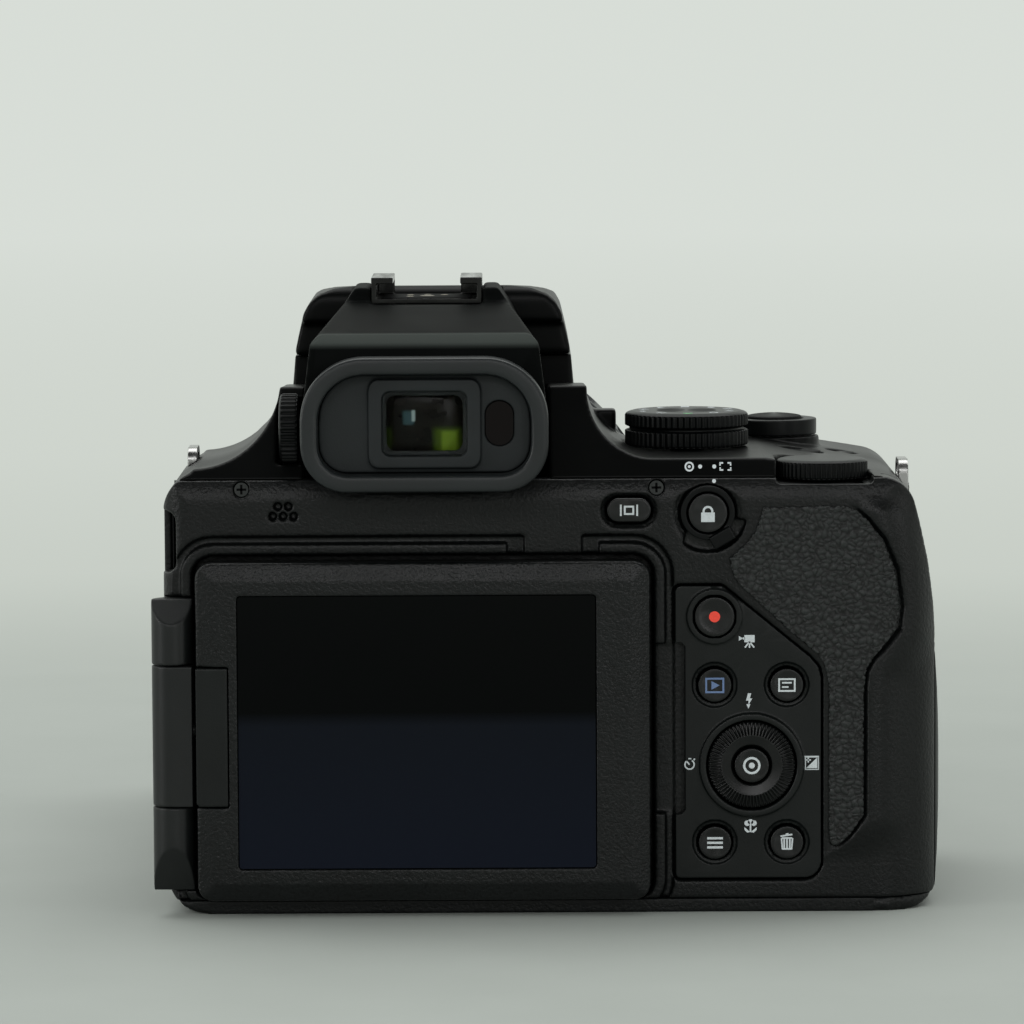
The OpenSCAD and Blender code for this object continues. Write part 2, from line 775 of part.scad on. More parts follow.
module tripod_bush() {
    color([0.75, 0.62, 0.35]) difference() {
        union() {
            rod_z(0, 0, 5, 0, base_t);
            rod_z(0, 0, 7.5, base_t, 6.6);
        }
        rod_z(0, 0, tripod_r, -1, tripod_d);
    }
}

module chassis() {
    color([0.5, 0.5, 0.52]) difference() {
        union() {
            intersection() {
                body_solid(wall);
                box(-body_left + wall + 4.5, -4, base_t, neck_r + 11, -2, seam_z - 3);
            }
            for (x = [9 - neck_r, neck_r - 5], z = [base_t + 13.5, seam_z - 14.5]) rod_y(x, z, 2.5, -8, -3);
        }
        for (x = [-30, 30], z = [lens_z - 10, lens_z + 10]) rod_y(x, z, 4, -5, 0);
        rod_z(0, 0, 7.5 + gap, 0, 7);
    }
}

module main_board() {
    color([0.1, 0.3, 0.16]) {
        box(-body_left + wall + 7.5, -9.6, base_t + 8.5, neck_r + 3, -8, seam_z - 9.5);
        box(-18, -11.2, lens_z - 22, 2, -9.6, lens_z - 2);
        box(12, -10.8, lens_z - 14, 26, -9.6, lens_z);
    }
}

module image_sensor() {
    color([0.2, 0.22, 0.3]) {
        box(-14, -2, lens_z - 12, 14, 0, lens_z + 12);
        box(-5, 0, lens_z - 4, 5, 1.4, lens_z + 4);
    }
}

module battery_box() {
    color([0.16, 0.16, 0.17]) difference() {
        box(hatch_x0 - 1, hatch_y0 - 1.5, base_t, hatch_x1 + 1, hatch_y1 - 3, 58);
        box(hatch_x0 + 1.5, hatch_y0 + 0.5, 0, hatch_x1 - 1.5, hatch_y1 - 5, 56);
    }
}

module battery() {
    color([0.2, 0.2, 0.22]) box(hatch_x0 + 1.8, hatch_y0 + 0.8, base_t + 0.6, hatch_x1 - 1.8,
        hatch_y1 - 5.3, 55.6);
}

module port_block() {
    color([0.14, 0.14, 0.15]) difference() {
        box(-body_left + wall, door_y0 + 2, door_z0 + 1, -body_left + wall + 3.9, neck_y - 0.6, door_z1 - 7);
        slab_x(-body_left, -body_left + wall + 2.7) {
            rect4(-13, 60, -4, 63.2, [1.4, 1.4, 1.4, 1.4]);
            rect4(-12, 48, -4, 52, [0.6, 0.6, 1.4, 1.4]);
            translate([-8, 38]) circle(1.8);
        }
    }
}

module strap_lugs() {
    color([0.75, 0.75, 0.76]) for (p = [[4.1 - body_left, 0], [body_right - 5.4, 0]]) {
        low = p[0] < 0 ? shoulder_z - 7.6 : deck_z - 12;
        intersection() {
            difference() {
                slab_x(p[0] - 0.9, p[0] + 0.9) difference() {
                    rect4(3, low, 13, low + 9.4, [0.6, 0.6, 2.6, 2.6]);
                    rect4(4.8, low + 6.2, 11.2, low + 8.2, [0.6, 0.6, 0.9, 0.9]);
                }
                body_solid(0);
            }
            box(-far, 0, 0, far, 20, 200);
        }
    }
}

module case_screws() {
    color([0.2, 0.2, 0.2]) for (x = screws_x) translate([x, 0, screw_z]) difference() {
        union() {
            rod_y(0, 0, 1.3, -body_rear + 1.1, -body_rear + 2);
            rod_y(0, 0, 0.75, -body_rear + 1.5, -body_rear + 4.4);
        }
        box(-0.9, -far, -0.2, 0.9, -body_rear + 1.5, 0.2);
        box(-0.2, -far, -0.9, 0.2, -body_rear + 1.5, 0.9);
    }
}

module zoom_motor() {
    color([0.6, 0.6, 0.62]) {
        rod_y(-39, 13.5, 5.5, -2, 14);
        rod_y(-39, 13.5, 1.5, 13, 19);
    }
}

// The hood narrows upwards and forwards to the plateau
module finder_housing() {
    w0 = 22.6;
    color([0.08, 0.08, 0.09]) difference() {
        union() {
            hull() {
                translate([finder_x, 0, 0]) slab_y(-finder_rear, -finder_rear + 0.5)
                    polygon([[-w0 + 1.5, finder_low], [w0 - 1.5, finder_low], [w0, finder_low + 4],
                        [w0, cup_z], [20.8, hood_z - 1.3], [19.4, hood_z], [-19.4, hood_z],
                        [-20.8, hood_z - 1.3], [-w0, cup_z], [-w0, finder_low + 4]]);
                translate([finder_x, 0, 0]) slab_y(plateau_y - 0.5, plateau_y)
                    polygon([[-w0, finder_low], [w0, finder_low], [21.4, 100],
                        [15.2, shoe_z + 0.6], [-15.2, shoe_z + 0.6], [-21.4, 100]]);
            }
            translate([finder_x, 0, 0]) slab_y(plateau_y - 0.5, bed_front)
                polygon([[-w0, seam_z], [w0, seam_z], [21.4, 100], [plateau_half + 2.4, plateau_z - 3.6],
                    [plateau_half, plateau_z], [-plateau_half, plateau_z],
                    [-plateau_half - 2.4, plateau_z - 3.6], [-21.4, 100]]);
            for (x = [-1, 1]) translate([finder_x + ear_x * x, 0, 0]) {
                rod_x(-ear_w / 2, ear_w / 2, flash_hinge_y, flash_hinge_z, ear_r);
                box(-ear_w / 2, bed_front - 1, flash_hinge_z - ear_r, ear_w / 2, flash_hinge_y,
                    flash_hinge_z + ear_r - 0.9);
            }
        }
        rod_x(-far, far, flash_hinge_y, flash_hinge_z, flash_pin_r + run);
        box(-far, -body_rear, 0, far, far, seam_z);
        box(finder_x - 17, -finder_rear + 3, seam_z + 2, finder_x + 17, bed_front - 2, shoe_z - 8.6);
        rod_y(finder_x, cup_z, 8, -far, -20);
        box(finder_x - shoe_w / 2 - shoe_side - 0.15, plateau_y - 6, shoe_z,
            finder_x + shoe_w / 2 + shoe_side + 0.15, bed_front, far);
        rod_x(finder_x - 30, finder_x - 15, diopter_y, diopter_z, 2 + run);
        lens_rod(neck_r + gap, 0, far);
    }
}

module cup_line(i) {
    rect4(finder_x - cup_w / 2 + i, cup_z - cup_h / 2 + i, finder_x + cup_w / 2 - i,
        cup_z + cup_h / 2 - i, [8.5 - i, 8.5 - i, 11.5 - i, 11.5 - i]);
}

module eyecup() {
    color([0.06, 0.06, 0.06]) difference() {
        slab_y(-finder_rear - cup_d, -finder_rear) cup_line(0);
        slab_y(-far, far) cup_line(cup_wall);
    }
}

module eyepiece_frame() {
    color([0.07, 0.07, 0.07]) difference() {
        union() {
            slab_y(plate_y + 1, -finder_rear) cup_line(cup_wall + 0.1);
            slab_y(plate_y, -finder_rear - 1) rect4(finder_x - 10.2, cup_z - 8.1, finder_x + 10.2,
                cup_z + 8.1, [2, 2, 2, 2]);
        }
        slab_y(-far, plate_y + 2) window_line(0.1);
        slab_y(-far, far) window_line(-0.8);
        slab_y(-far, plate_y + 2.2) sensor_line(0.1);
    }
}

module window_line(i) {
    rect4(finder_x - eye_w / 2 - i, cup_z - eye_h / 2 - i, finder_x + eye_w / 2 + i,
        cup_z + eye_h / 2 + i, [1.5, 1.5, 1.5, 1.5]);
}

module sensor_line(i) {
    rect4(finder_x + 11.1 - i, cup_z - 4 - i, finder_x + 16.1 + i, cup_z + 4 + i,
        [2.5, 2.5, 2.5, 2.5]);
}

module eyepiece_window() {
    color([0.3, 0.4, 0.3]) slab_y(plate_y + 0.9, plate_y + 2) window_line(0);
}

module eye_sensor_window() {
    color([0.15, 0.03, 0.04]) slab_y(plate_y + 0.8, plate_y + 2.2) sensor_line(0);
}

module accessory_shoe() {
    half = shoe_w / 2 + shoe_side;
    y0 = bed_front - shoe_l - 0.5;
    color([0.75, 0.75, 0.76]) translate([finder_x, 0, 0]) difference() {
        box(-half, y0, shoe_z, half, bed_front - 0.5, shoe_top);
        box(-shoe_w / 2, -far, shoe_z + shoe_plate, shoe_w / 2, bed_front - 1.7, shoe_lip_z);
        box(-shoe_gap / 2, -far, shoe_z + shoe_plate, shoe_gap / 2, far, far);
    }
}

module flash_line(i) {
    polygon([[-flash_half + i, flash_low + i], [flash_half - i, flash_low + i],
        [flash_half - 0.8 - i, flash_low + 3.8], [flash_half - 1.8 - i, flash_top - 5.2],
        [flash_half - 2.9 - i, flash_top - 3.2], [flash_top_half + 2.8 - i, flash_top - 1.6 - 0.6 * i],
        [flash_top_half - i, flash_top - 0.5 - i], [flash_top_half - 4.5, flash_top - i],
        [-flash_top_half + 4.5, flash_top - i], [-flash_top_half + i, flash_top - 0.5 - i],
        [-flash_top_half - 2.8 + i, flash_top - 1.6 - 0.6 * i], [-flash_half + 2.9 + i, flash_top - 3.2],
        [-flash_half + 1.8 + i, flash_top - 5.2], [-flash_half + 0.8 + i, flash_low + 3.8]]);
}

// The flash turns about a pin behind its top edge
module flash_housing() {
    color([0.08, 0.08, 0.09]) difference() {
        intersection() {
            slab_y(flash_y, flash_front) flash_line(0);
            slab_x(-far, far) union() {
                polygon([[flash_hinge_y, flash_low], [flash_front, flash_low],
                    [flash_front, flash_top - 6], [flash_front - 5, flash_top - 3],
                    [flash_hinge_y, flash_top]]);
                translate([flash_hinge_y, flash_hinge_z]) circle(3);
                translate([flash_hinge_y - 3, flash_low]) square([4, flash_hinge_z - flash_low]);
            }
        }
        intersection() {
            slab_y(flash_y + 8, flash_front + 1) flash_line(2);
            box(-far, 0, 0, far, far, flash_top - 7.5);
        }
        rod_x(-far, far, flash_hinge_y, flash_hinge_z, flash_pin_r + run);
        box(-far, flash_y - 1, 0, far, flash_y + 1.4, flash_hinge_z - 4);
        for (x = [-1, 1]) translate([finder_x + ear_x * x, 0, 0]) {
            rod_x(-ear_w / 2 - gap, ear_w / 2 + gap, flash_hinge_y, flash_hinge_z, ear_r + 0.4);
            box(-ear_w / 2 - gap, 0, flash_hinge_z - ear_r - 0.4, ear_w / 2 + gap, flash_hinge_y, far);
        }
    }
}

module flash_window() {
    w = flash_top_half + 2.4;
    color([0.85, 0.86, 0.88]) slab_y(flash_front - 1.6, flash_front - 0.1)
        rect4(-w, flash_low + 2.2, w, flash_top - 7.6, [0.8, 0.8, 0.8, 0.8]);
}

module hinge_pins() {
    color([0.7, 0.7, 0.72]) {
        rod_z(hinge_x, hinge_y, pin_r, hinge_low + 4.7, hinge_high - 2.9);
        rod_x(finder_x - ear_x - ear_w / 2, finder_x + ear_x + ear_w / 2, flash_hinge_y, flash_hinge_z,
            flash_pin_r);
        rod_z(-body_left + door_t / 2, door_y1, door_pin_r, door_z0 - 2.5, door_z1 + 2.5);
        rod_x(hatch_x0 - 2.4, hatch_x1 + 2.4, hatch_y1, 1.1, hatch_pin_r);
    }
}

module lens_barrel() {
    color([0.08, 0.08, 0.09])
        lens_turn() polygon([[rear_r + run, neck_y], [neck_r, neck_y], [neck_r, body_front],
            [barrel_r, body_front], [barrel_r, ring_y - gap], [ring_in - gap, ring_y - gap],
            [ring_in - gap, ring_y + ring_w + gap], [barrel_r, ring_y + ring_w + gap],
            [barrel_r, barrel_front - 1], [barrel_r - 1, barrel_front], [bore_r, barrel_front],
            [bore_r, body_front + 1.5], [neck_r - 2, body_front + 1.5], [neck_r - 2, neck_y + 2],
            [rear_r + run, neck_y + 2]]);
}

module control_ring() {
    color([0.06, 0.06, 0.06]) difference() {
        lens_turn() polygon([[ring_in, ring_y], [ring_out - 0.6, ring_y], [ring_out, ring_y + 0.6],
            [ring_out, ring_y + ring_w - 0.6], [ring_out - 0.6, ring_y + ring_w],
            [ring_in, ring_y + ring_w]]);
        translate([0, ring_y + 2.5, lens_z]) for (k = [0:ring_ribs - 1])
            rotate([0, 360 * k / ring_ribs, 0]) box(-0.9, 0, ring_out - 0.8, 0.9, ring_w - 5, ring_out + 2);
    }
}

module cam_barrel() {
    color([0.45, 0.45, 0.47]) lens_turn() polygon([[cam_in, body_front + 2], [cam_out, body_front + 2],
        [cam_out, body_front + 50], [cam_in, body_front + 50]]);
}

module zoom_barrel_outer() {
    color([0.07, 0.07, 0.08]) lens_turn() polygon([[outer_in - 2.5, body_front + 4],
        [outer_out, body_front + 4], [outer_out, outer_front - 0.6], [outer_out - 0.6, outer_front],
        [outer_in, outer_front], [outer_in, body_front + 7], [outer_in - 2.5, body_front + 7]]);
}

module variator_group() {
    color([0.4, 0.45, 0.5]) lens_turn() translate([0, body_front]) polygon([[0, 4.4], [16, 5],
        [outer_in - 2.6, 5], [outer_in - 2.6, 6.4], [20, 6.4], [20, 9], [0, 11]]);
}

module zoom_barrel_inner() {
    f = lens_front;
    b = body_front + 12;
    color([0.07, 0.07, 0.08]) lens_turn() polygon([[inner_in - 1.6, b], [inner_out, b],
        [inner_out, f - 0.6], [inner_out - 0.6, f], [filter_r, f], [filter_r, f - 6],
        [inner_in - 4.2, f - 7], [inner_in - 4.6, f - 8.4], [inner_in, f - 8.4], [inner_in, b + 2],
        [inner_in - 1.6, b + 2]]);
}

module front_lens_group() {
    f = lens_front - 8.4;
    r = inner_in - 0.1;
    color([0.35, 0.4, 0.5]) intersection() {
        lens_rod(second_r - run, f - baffle_d - 4, f);
        translate([0, f - baffle_d + 2.4 - 90, lens_z]) sphere(90, $fn = 256);
    }
    color([0.35, 0.4, 0.5]) difference() {
        union() {
            lens_rod(r, f - 4, f);
            intersection() {
                lens_rod(r - 4.8, f - 1, f + 6);
                translate([0, f + 2.2 - 250, lens_z]) sphere(250, $fn = 256);
            }
        }
        translate([0, f - 4 - 78, lens_z]) sphere(80, $fn = 256);
    }
}

// Steps from the front element back to the second one, which it holds
module lens_baffle() {
    f = lens_front - 8.4 - 4;
    back = f + 4 - baffle_d - 4;
    step = (inner_in - 5 - second_r) / 8;
    rise = (f - back - 6) / 8;
    rim = inner_in - 0.1;
    color([0.03, 0.03, 0.03]) lens_turn() difference() {
        polygon([[second_r - 2, back - 1.5], [second_r + 2, back - 1.5], [rim, f - 3], [rim, f],
            [second_r - 2, f]]);
        translate([0, back]) square([second_r, far]);
        for (k = [0:7]) translate([0, back + 6 + rise * k]) square([second_r + step * (k + 1), far]);
    }
}

module rear_lens_group() {
    color([0.35, 0.4, 0.45]) {
        lens_rod(rear_r, neck_y - 0.5, neck_y + 3);
        lens_rod(12, neck_y + 2, neck_y + 9);
    }
}

module terminal_door() {
    x0 = -body_left;
    color([0.09, 0.09, 0.1]) difference() {
        union() {
            box(x0, door_y0, door_z0, x0 + door_t - 0.1, door_y1, door_z1);
            rod_z(x0 + door_t / 2, door_y1, door_t / 2, door_z0, door_z1);
        }
        rod_z(x0 + door_t / 2, door_y1, door_pin_r + run, 0, far);
    }
}

module battery_door() {
    color([0.1, 0.1, 0.1]) difference() {
        union() {
            box(hatch_x0, hatch_y0, 0.1, hatch_x1, hatch_y1, 2.1);
            rod_x(hatch_x0, hatch_x1, hatch_y1, 1.1, 1);
        }
        rod_x(0, far, hatch_y1, 1.1, hatch_pin_r + run);
        for (k = [0:3]) box(hatch_x0 + 8, hatch_y0 + 2 + 1.2 * k, -1, hatch_x1 - 8,
            hatch_y0 + 2.6 + 1.2 * k, 0.5);
    }
}

// A toothed dial on a shaft, its lower face at z
module dial(x, y, z, r, h, teeth, shaft, deep) {
    difference() {
        union() {
            rod_z(x, y, r, z, z + h);
            rod_z(x, y, shaft, z - deep, z + 1);
        }
        for (k = [0:teeth - 1]) translate([x, y, z]) rotate(360 * k / teeth)
            box(r - 0.5, -0.28 * r * 3.14 / teeth, -1, r + 2, 0.28 * r * 3.14 / teeth, h - 0.6);
    }
}

module mode_dial() {
    color([0.07, 0.07, 0.08]) difference() {
        dial(mode_x, mode_y, deck_z + 0.3, mode_r, mode_h, mode_teeth, 3, 3.5);
        difference() {
            rod_z(mode_x, mode_y, far, deck_z + mode_h / 2 - 0.1, deck_z + mode_h / 2 + 0.7);
            rod_z(mode_x, mode_y, mode_r - 0.9, 0, far);
        }
    }
}

module command_dial() {
    color([0.07, 0.07, 0.08])
        dial(command_x, command_y, command_z, command_r, command_h, command_teeth, 2, 1.6);
}

module selector_dial() {
    y0 = -body_rear - button_out - 0.3;
    color([0.09, 0.09, 0.1]) difference() {
        union() {
            rod_y(mid_x, selector_z, selector_r, y0 + 0.8, -body_rear + button_deep);
            rod_y(mid_x, selector_z, selector_r - 0.8, y0, y0 + 1);
        }
        rod_y(mid_x, selector_z, ok_r + gap, -far, far);
        for (k = [0:23]) translate([mid_x, y0 - 1, selector_z]) rotate([0, 15 * k, 0])
            box(selector_r - 2.2, 0, -0.25, selector_r + 1, 1.6, 0.25);
    }
}

module ok_button() {
    color([0.09, 0.09, 0.1])
        rod_y(mid_x, selector_z, ok_r, -body_rear - button_out - 0.3, -body_rear + button_deep + 0.6);
}

module diopter_dial() {
    x1 = diopter_x - 0.3;
    color([0.07, 0.07, 0.07]) difference() {
        union() {
            rod_x(x1 - diopter_w, x1, diopter_y, diopter_z, diopter_r);
            rod_x(x1 - 1, finder_x - 17.6, diopter_y, diopter_z, 2);
        }
        for (k = [0:23]) translate([x1 - diopter_w - 1, diopter_y, diopter_z]) rotate([15 * k, 0, 0])
            box(0, -0.35, diopter_r - 0.45, diopter_w, 0.35, diopter_r + 1);
    }
}

module zoom_lever() {
    z0 = deck_z + 0.3;
    color([0.08, 0.08, 0.09]) difference() {
        union() {
            rod_z(zoom_x, zoom_y, zoom_r, z0, z0 + zoom_h);
            box(zoom_x - 2, zoom_y, z0, zoom_x + 2, zoom_y + zoom_r + 3.4, z0 + zoom_h);
        }
        rod_z(zoom_x, zoom_y, shutter_r + gap, 0, far);
    }
}

module shutter_button() {
    z1 = deck_z + zoom_h + 1.3;
    color([0.12, 0.12, 0.13]) {
        rod_z(zoom_x, zoom_y, shutter_r, deck_z + 1.4, z1);
        rod_z(zoom_x, zoom_y, shutter_r - 1.5, seam_z - 1, deck_z + 2);
    }
}

module power_button() {
    color([0.12, 0.12, 0.13]) rod_z(power_x, power_y, power_r, power_top - 2.2, power_top - 0.2);
}

module function_button() {
    color([0.12, 0.12, 0.13])
        rod_z(function_x, function_y, function_r, function_top - 2.2, function_top - 0.1);
}

module rear_button(x, z, r, out) {
    color([0.12, 0.12, 0.13]) rod_y(x, z, r, -body_rear - out, -body_rear + button_deep);
}

module display_button() {
    color([0.12, 0.12, 0.13])
        slab_y(-body_rear - button_out, -body_rear + button_deep) rear_holes(0);
}

module lock_button() {
    rear_button(lock_x, upper_z - 0.6, lock_r, button_out + 0.2);
}

module focus_lever() {
    color([0.1, 0.1, 0.11]) difference() {
        union() {
            rod_y(lock_x, upper_z - 0.6, lever_r, -body_rear - 0.6, -body_rear + 1.1);
            translate([lock_x, -body_rear - 1.2, upper_z - 0.6]) rotate([0, 60, 0])
                box(lever_r - 0.9, 0, -2.2, lever_r + 1.5, 2.2, 2.2);
        }
        rod_y(lock_x, upper_z - 0.6, lock_r + gap, -far, far);
    }
}

module record_button() {
    rear_button(col_a, record_z, record_r, button_out);
}

module playback_button() {
    rear_button(col_a, playback_z, playback_r, button_out);
}

module info_button() {
    rear_button(col_b, playback_z, small_r, button_out);
}

module menu_button() {
    rear_button(col_a, menu_z, small_r, button_out);
}

module delete_button() {
    rear_button(col_b, menu_z, small_r, button_out);
}

rear_cover();
top_cover();
front_cover();
base_plate();
chassis();
main_board();
image_sensor();
battery_box();
battery();
tripod_bush();
grip_skin();
thumb_pad();
control_panel();
strap_lugs();
case_screws();
port_block();
finder_housing();
eyecup();
eyepiece_frame();
eyepiece_window();
eye_sensor_window();
accessory_shoe();
hinge_bracket();
hinge_pins();
lens_barrel();
rear_lens_group();
zoom_motor();
hinge_arm();
swivel_bracket();
screen_bezel();
screen_back();
screen_glass();
flash_housing();
flash_window();
control_ring();
cam_barrel();
zoom_barrel_outer();
variator_group();
zoom_barrel_inner();
front_lens_group();
lens_baffle();
terminal_door();
battery_door();
mode_dial();
command_dial();
selector_dial();
diopter_dial();
zoom_lever();
focus_lever();
shutter_button();
power_button();
function_button();
display_button();
lock_button();
record_button();
playback_button();
info_button();
ok_button();
menu_button();
delete_button();
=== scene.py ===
import json
import math

import bmesh
import bpy
import numpy as np
from mathutils import Matrix, Vector, noise


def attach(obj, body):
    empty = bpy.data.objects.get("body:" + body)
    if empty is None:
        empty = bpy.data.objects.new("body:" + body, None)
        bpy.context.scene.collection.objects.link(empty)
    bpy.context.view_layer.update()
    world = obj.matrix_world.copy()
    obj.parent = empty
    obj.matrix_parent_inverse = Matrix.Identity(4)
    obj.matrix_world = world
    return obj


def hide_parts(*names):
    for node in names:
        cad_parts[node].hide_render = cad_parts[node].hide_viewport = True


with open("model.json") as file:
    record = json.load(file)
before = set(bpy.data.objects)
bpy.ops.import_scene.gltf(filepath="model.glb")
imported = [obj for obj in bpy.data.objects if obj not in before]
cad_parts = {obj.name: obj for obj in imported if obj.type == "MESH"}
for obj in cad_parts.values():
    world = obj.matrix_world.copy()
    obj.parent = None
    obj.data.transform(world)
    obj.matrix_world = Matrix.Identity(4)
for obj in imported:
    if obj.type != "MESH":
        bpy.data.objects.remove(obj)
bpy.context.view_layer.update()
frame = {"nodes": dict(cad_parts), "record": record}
MM = 0.001
nodes = frame["nodes"]
record = frame["record"]
body_of = {n: b for b, ns in record["behaviour"]["bodies"].items() for n in ns}
slot_of = {p["node"]: p["material_slot"] for p in record["subparts"]}
scene = bpy.context.scene
scene.view_settings.view_transform = "Standard"


# Materials. Object coordinates are metres in the part's own frame, so grain sizes are given in millimetres.
class Net:
    """A material with its nodes, and short ways to add the ones that are needed here."""
    def __init__(self, name):
        self.mat = bpy.data.materials.new(name)
        self.mat.use_nodes = True
        self.tree = self.mat.node_tree
        self.shader = self.tree.nodes["Principled BSDF"]
        self.coord = self.add("ShaderNodeTexCoord")

    def add(self, kind, **kw):
        n = self.tree.nodes.new(kind)
        for k, v in kw.items():
            setattr(n, k, v)
        return n

    def link(self, a, b):
        self.tree.links.new(a, b)

    def at(self, stretch):
        m = self.add("ShaderNodeMapping")
        m.inputs["Scale"].default_value = stretch
        self.link(self.coord.outputs["Object"], m.inputs["Vector"])
        return m.outputs["Vector"]

    def noise(self, mm, detail=2.0, stretch=(1, 1, 1)):
        n = self.add("ShaderNodeTexNoise")
        n.inputs["Scale"].default_value = 1000.0 / mm
        n.inputs["Detail"].default_value = detail
        self.link(self.at(stretch), n.inputs["Vector"])
        return n.outputs["Fac"]

    def ramp(self, fac, stops):
        r = self.add("ShaderNodeValToRGB")
        e = r.color_ramp.elements
        e[0].position, e[0].color = stops[0][0], (*stops[0][1], 1)
        e[1].position, e[1].color = stops[-1][0], (*stops[-1][1], 1)
        for p, c in stops[1:-1]:
            x = e.new(p)
            x.color = (*c, 1)
        self.link(fac, r.inputs["Fac"])
        return r.outputs["Color"]

    def span(self, fac, low, high, a=0.3, b=0.7):
        r = self.add("ShaderNodeMapRange")
        for k, v in (("From Min", a), ("From Max", b), ("To Min", low), ("To Max", high)):
            r.inputs[k].default_value = v
        self.link(fac, r.inputs["Value"])
        return r.outputs["Result"]

    def mix(self, fac, a, b):
        m = self.add("ShaderNodeMix", data_type="RGBA")
        self.link(fac, m.inputs[0])
        for s, v in ((m.inputs[6], a), (m.inputs[7], b)):
            if isinstance(v, tuple):
                s.default_value = (*v, 1)
            else:
                self.link(v, s)
        return m.outputs[2]

    def bump(self, heights):
        last = None
        for h, mm in heights:
            b = self.add("ShaderNodeBump")
            b.inputs["Distance"].default_value = mm * MM
            self.link(h, b.inputs["Height"])
            if last:
                self.link(last, b.inputs["Normal"])
            last = b.outputs["Normal"]
        self.link(last, self.shader.inputs["Normal"])

    def set(self, **kw):
        for k, v in kw.items():
            s = self.shader.inputs[k.replace("_", " ")]
            if hasattr(v, "is_linked"):
                self.link(v, s)
            elif isinstance(v, tuple):
                s.default_value = (*v, 1)
            else:
                s.default_value = v


def tint(c, k):
    return tuple(x * k for x in c)


def plastic(name, base, rough, grain, depth, spec, wear, shaded_pit_depth=0.0, size=0.5):
    """Moulded plastic: fine grain, a pitted skin where given, its pits painted darker as shade, edges rubbed
    a little brighter.
    """
    n = Net(name)
    col = n.ramp(n.noise(11, 3), [(0.3, tint(base, 0.84)), (0.7, tint(base, 1.18))])
    geo = n.add("ShaderNodeNewGeometry")
    col = n.mix(n.span(geo.outputs["Pointiness"], 0.0, wear, 0.54, 0.66), col, tint(base, 2.6))
    heights = [(n.noise(grain, 3), depth)]
    if shaded_pit_depth:
        skin = n.noise(size, 2)
        # Painted shade: the skin's pits, the low points of its bump, are painted darker
        col = n.mix(n.span(skin, 0.9, 0.0, 0.37, 0.46), col, tint(base, 0.12))
        heights.append((skin, shaded_pit_depth))
    n.bump(heights)
    n.set(Base_Color=col, Specular_IOR_Level=spec,
          Roughness=n.span(n.noise(26, 2), rough - 0.05, rough + 0.05))
    return n.mat


def leather(name, base, rough):
    """Rubber with a leather grain: the mesh has its pebbles and folds; the folds are painted darker as shade,
    the tops lighter, and the pits of a finer grain darker as painted shade.
    """
    n = Net(name)
    fold = n.add("ShaderNodeAttribute", attribute_name="fold").outputs["Fac"]
    # Painted shade in the folds: the deeper a point lies, the darker it is painted; pebble tops are painted
    # lighter
    col = n.ramp(fold, [(0.1, tint(base, 1.35)), (0.35, tint(base, 0.8)), (0.75, tint(base, 0.08))])
    skin = n.noise(0.4, 3)
    # Painted shade: the pits of the finer grain, low points of its bump, are painted darker
    col = n.mix(n.span(skin, 0.5, 0.0, 0.36, 0.47), col, tint(base, 0.3))
    n.bump([(n.noise(0.22, 3), 0.03), (skin, 0.07)])
    n.set(Base_Color=col, Specular_IOR_Level=0.36,
          Roughness=n.span(n.noise(0.9, 2), rough - 0.12, rough + 0.1))
    return n.mat


def metal(name, base, rough, stretch=(1, 1, 1), grain=0.5):
    """Brushed metal, the strokes drawn out along the axes that stretch makes small."""
    n = Net(name)
    brush = n.noise(grain, 4, stretch)
    col = n.ramp(n.noise(4, 3), [(0.3, tint(base, 0.8)), (0.7, tint(base, 1.08))])
    n.bump([(brush, 0.004), (n.noise(1.6, 2), 0.003)])
    n.set(Base_Color=col, Metallic=1.0, Roughness=n.span(brush, rough - 0.1, rough + 0.12))
    return n.mat


def turned(name, base, rough, axis, spec):
    """Button cap whose shine runs round an axis, as on a turned face."""
    n = Net(name)
    tang = n.add("ShaderNodeTangent", direction_type="RADIAL", axis=axis)
    n.link(tang.outputs["Tangent"], n.shader.inputs["Tangent"])
    slow = n.noise(3, 2)
    col = n.ramp(slow, [(0.3, tint(base, 0.85)), (0.7, tint(base, 1.15))])
    n.bump([(n.noise(0.2, 2), 0.006)])
    n.set(Base_Color=col, Roughness=n.span(n.noise(6, 2), rough - 0.05, rough + 0.05), Anisotropic=0.85,
          Specular_IOR_Level=spec)
    return n.mat


def paint(name, base, rough=0.5):
    """Printed ink, a little uneven."""
    n = Net(name)
    col = n.ramp(n.noise(0.4, 3), [(0.25, tint(base, 0.86)), (0.7, base)])
    n.bump([(n.noise(0.15, 2), 0.01)])
    n.set(Base_Color=col, Specular_IOR_Level=0.35,
          Roughness=n.span(n.noise(0.6, 2), rough - 0.08, rough + 0.08))
    return n.mat


def glass(name, tone, rough, film=0.0, spec=0.5, clear=0.0, ior=1.5):
    """Glass with a few fingertip smears in its roughness and, where film is given, a coating."""
    n = Net(name)
    smear = n.noise(7, 4, (1, 1, 2.2))
    col = n.ramp(n.noise(20, 2), [(0.3, tint(tone, 0.85)), (0.7, tone)])
    n.set(Base_Color=col, Specular_IOR_Level=spec, IOR=ior,
          Roughness=n.span(smear, rough, rough + 0.05, 0.45, 0.8))
    if clear:
        n.set(Transmission_Weight=clear)
    if film:
        n.set(Thin_Film_Thickness=film, Thin_Film_IOR=1.38)
    return n.mat


def board_mat():
    """Green circuit board with a fine pattern of tracks."""
    n = Net("circuit_board")
    w = n.add("ShaderNodeTexBrick")
    w.inputs["Scale"].default_value = 260
    w.inputs["Mortar Size"].default_value = 0.03
    n.link(n.at((1, 1, 1)), w.inputs["Vector"])
    col = n.mix(w.outputs["Fac"], (0.012, 0.07, 0.03), (0.03, 0.16, 0.07))
    n.bump([(w.outputs["Fac"], 0.03)])
    n.set(Base_Color=col, Roughness=n.span(n.noise(2, 2), 0.35, 0.55))
    return n.mat
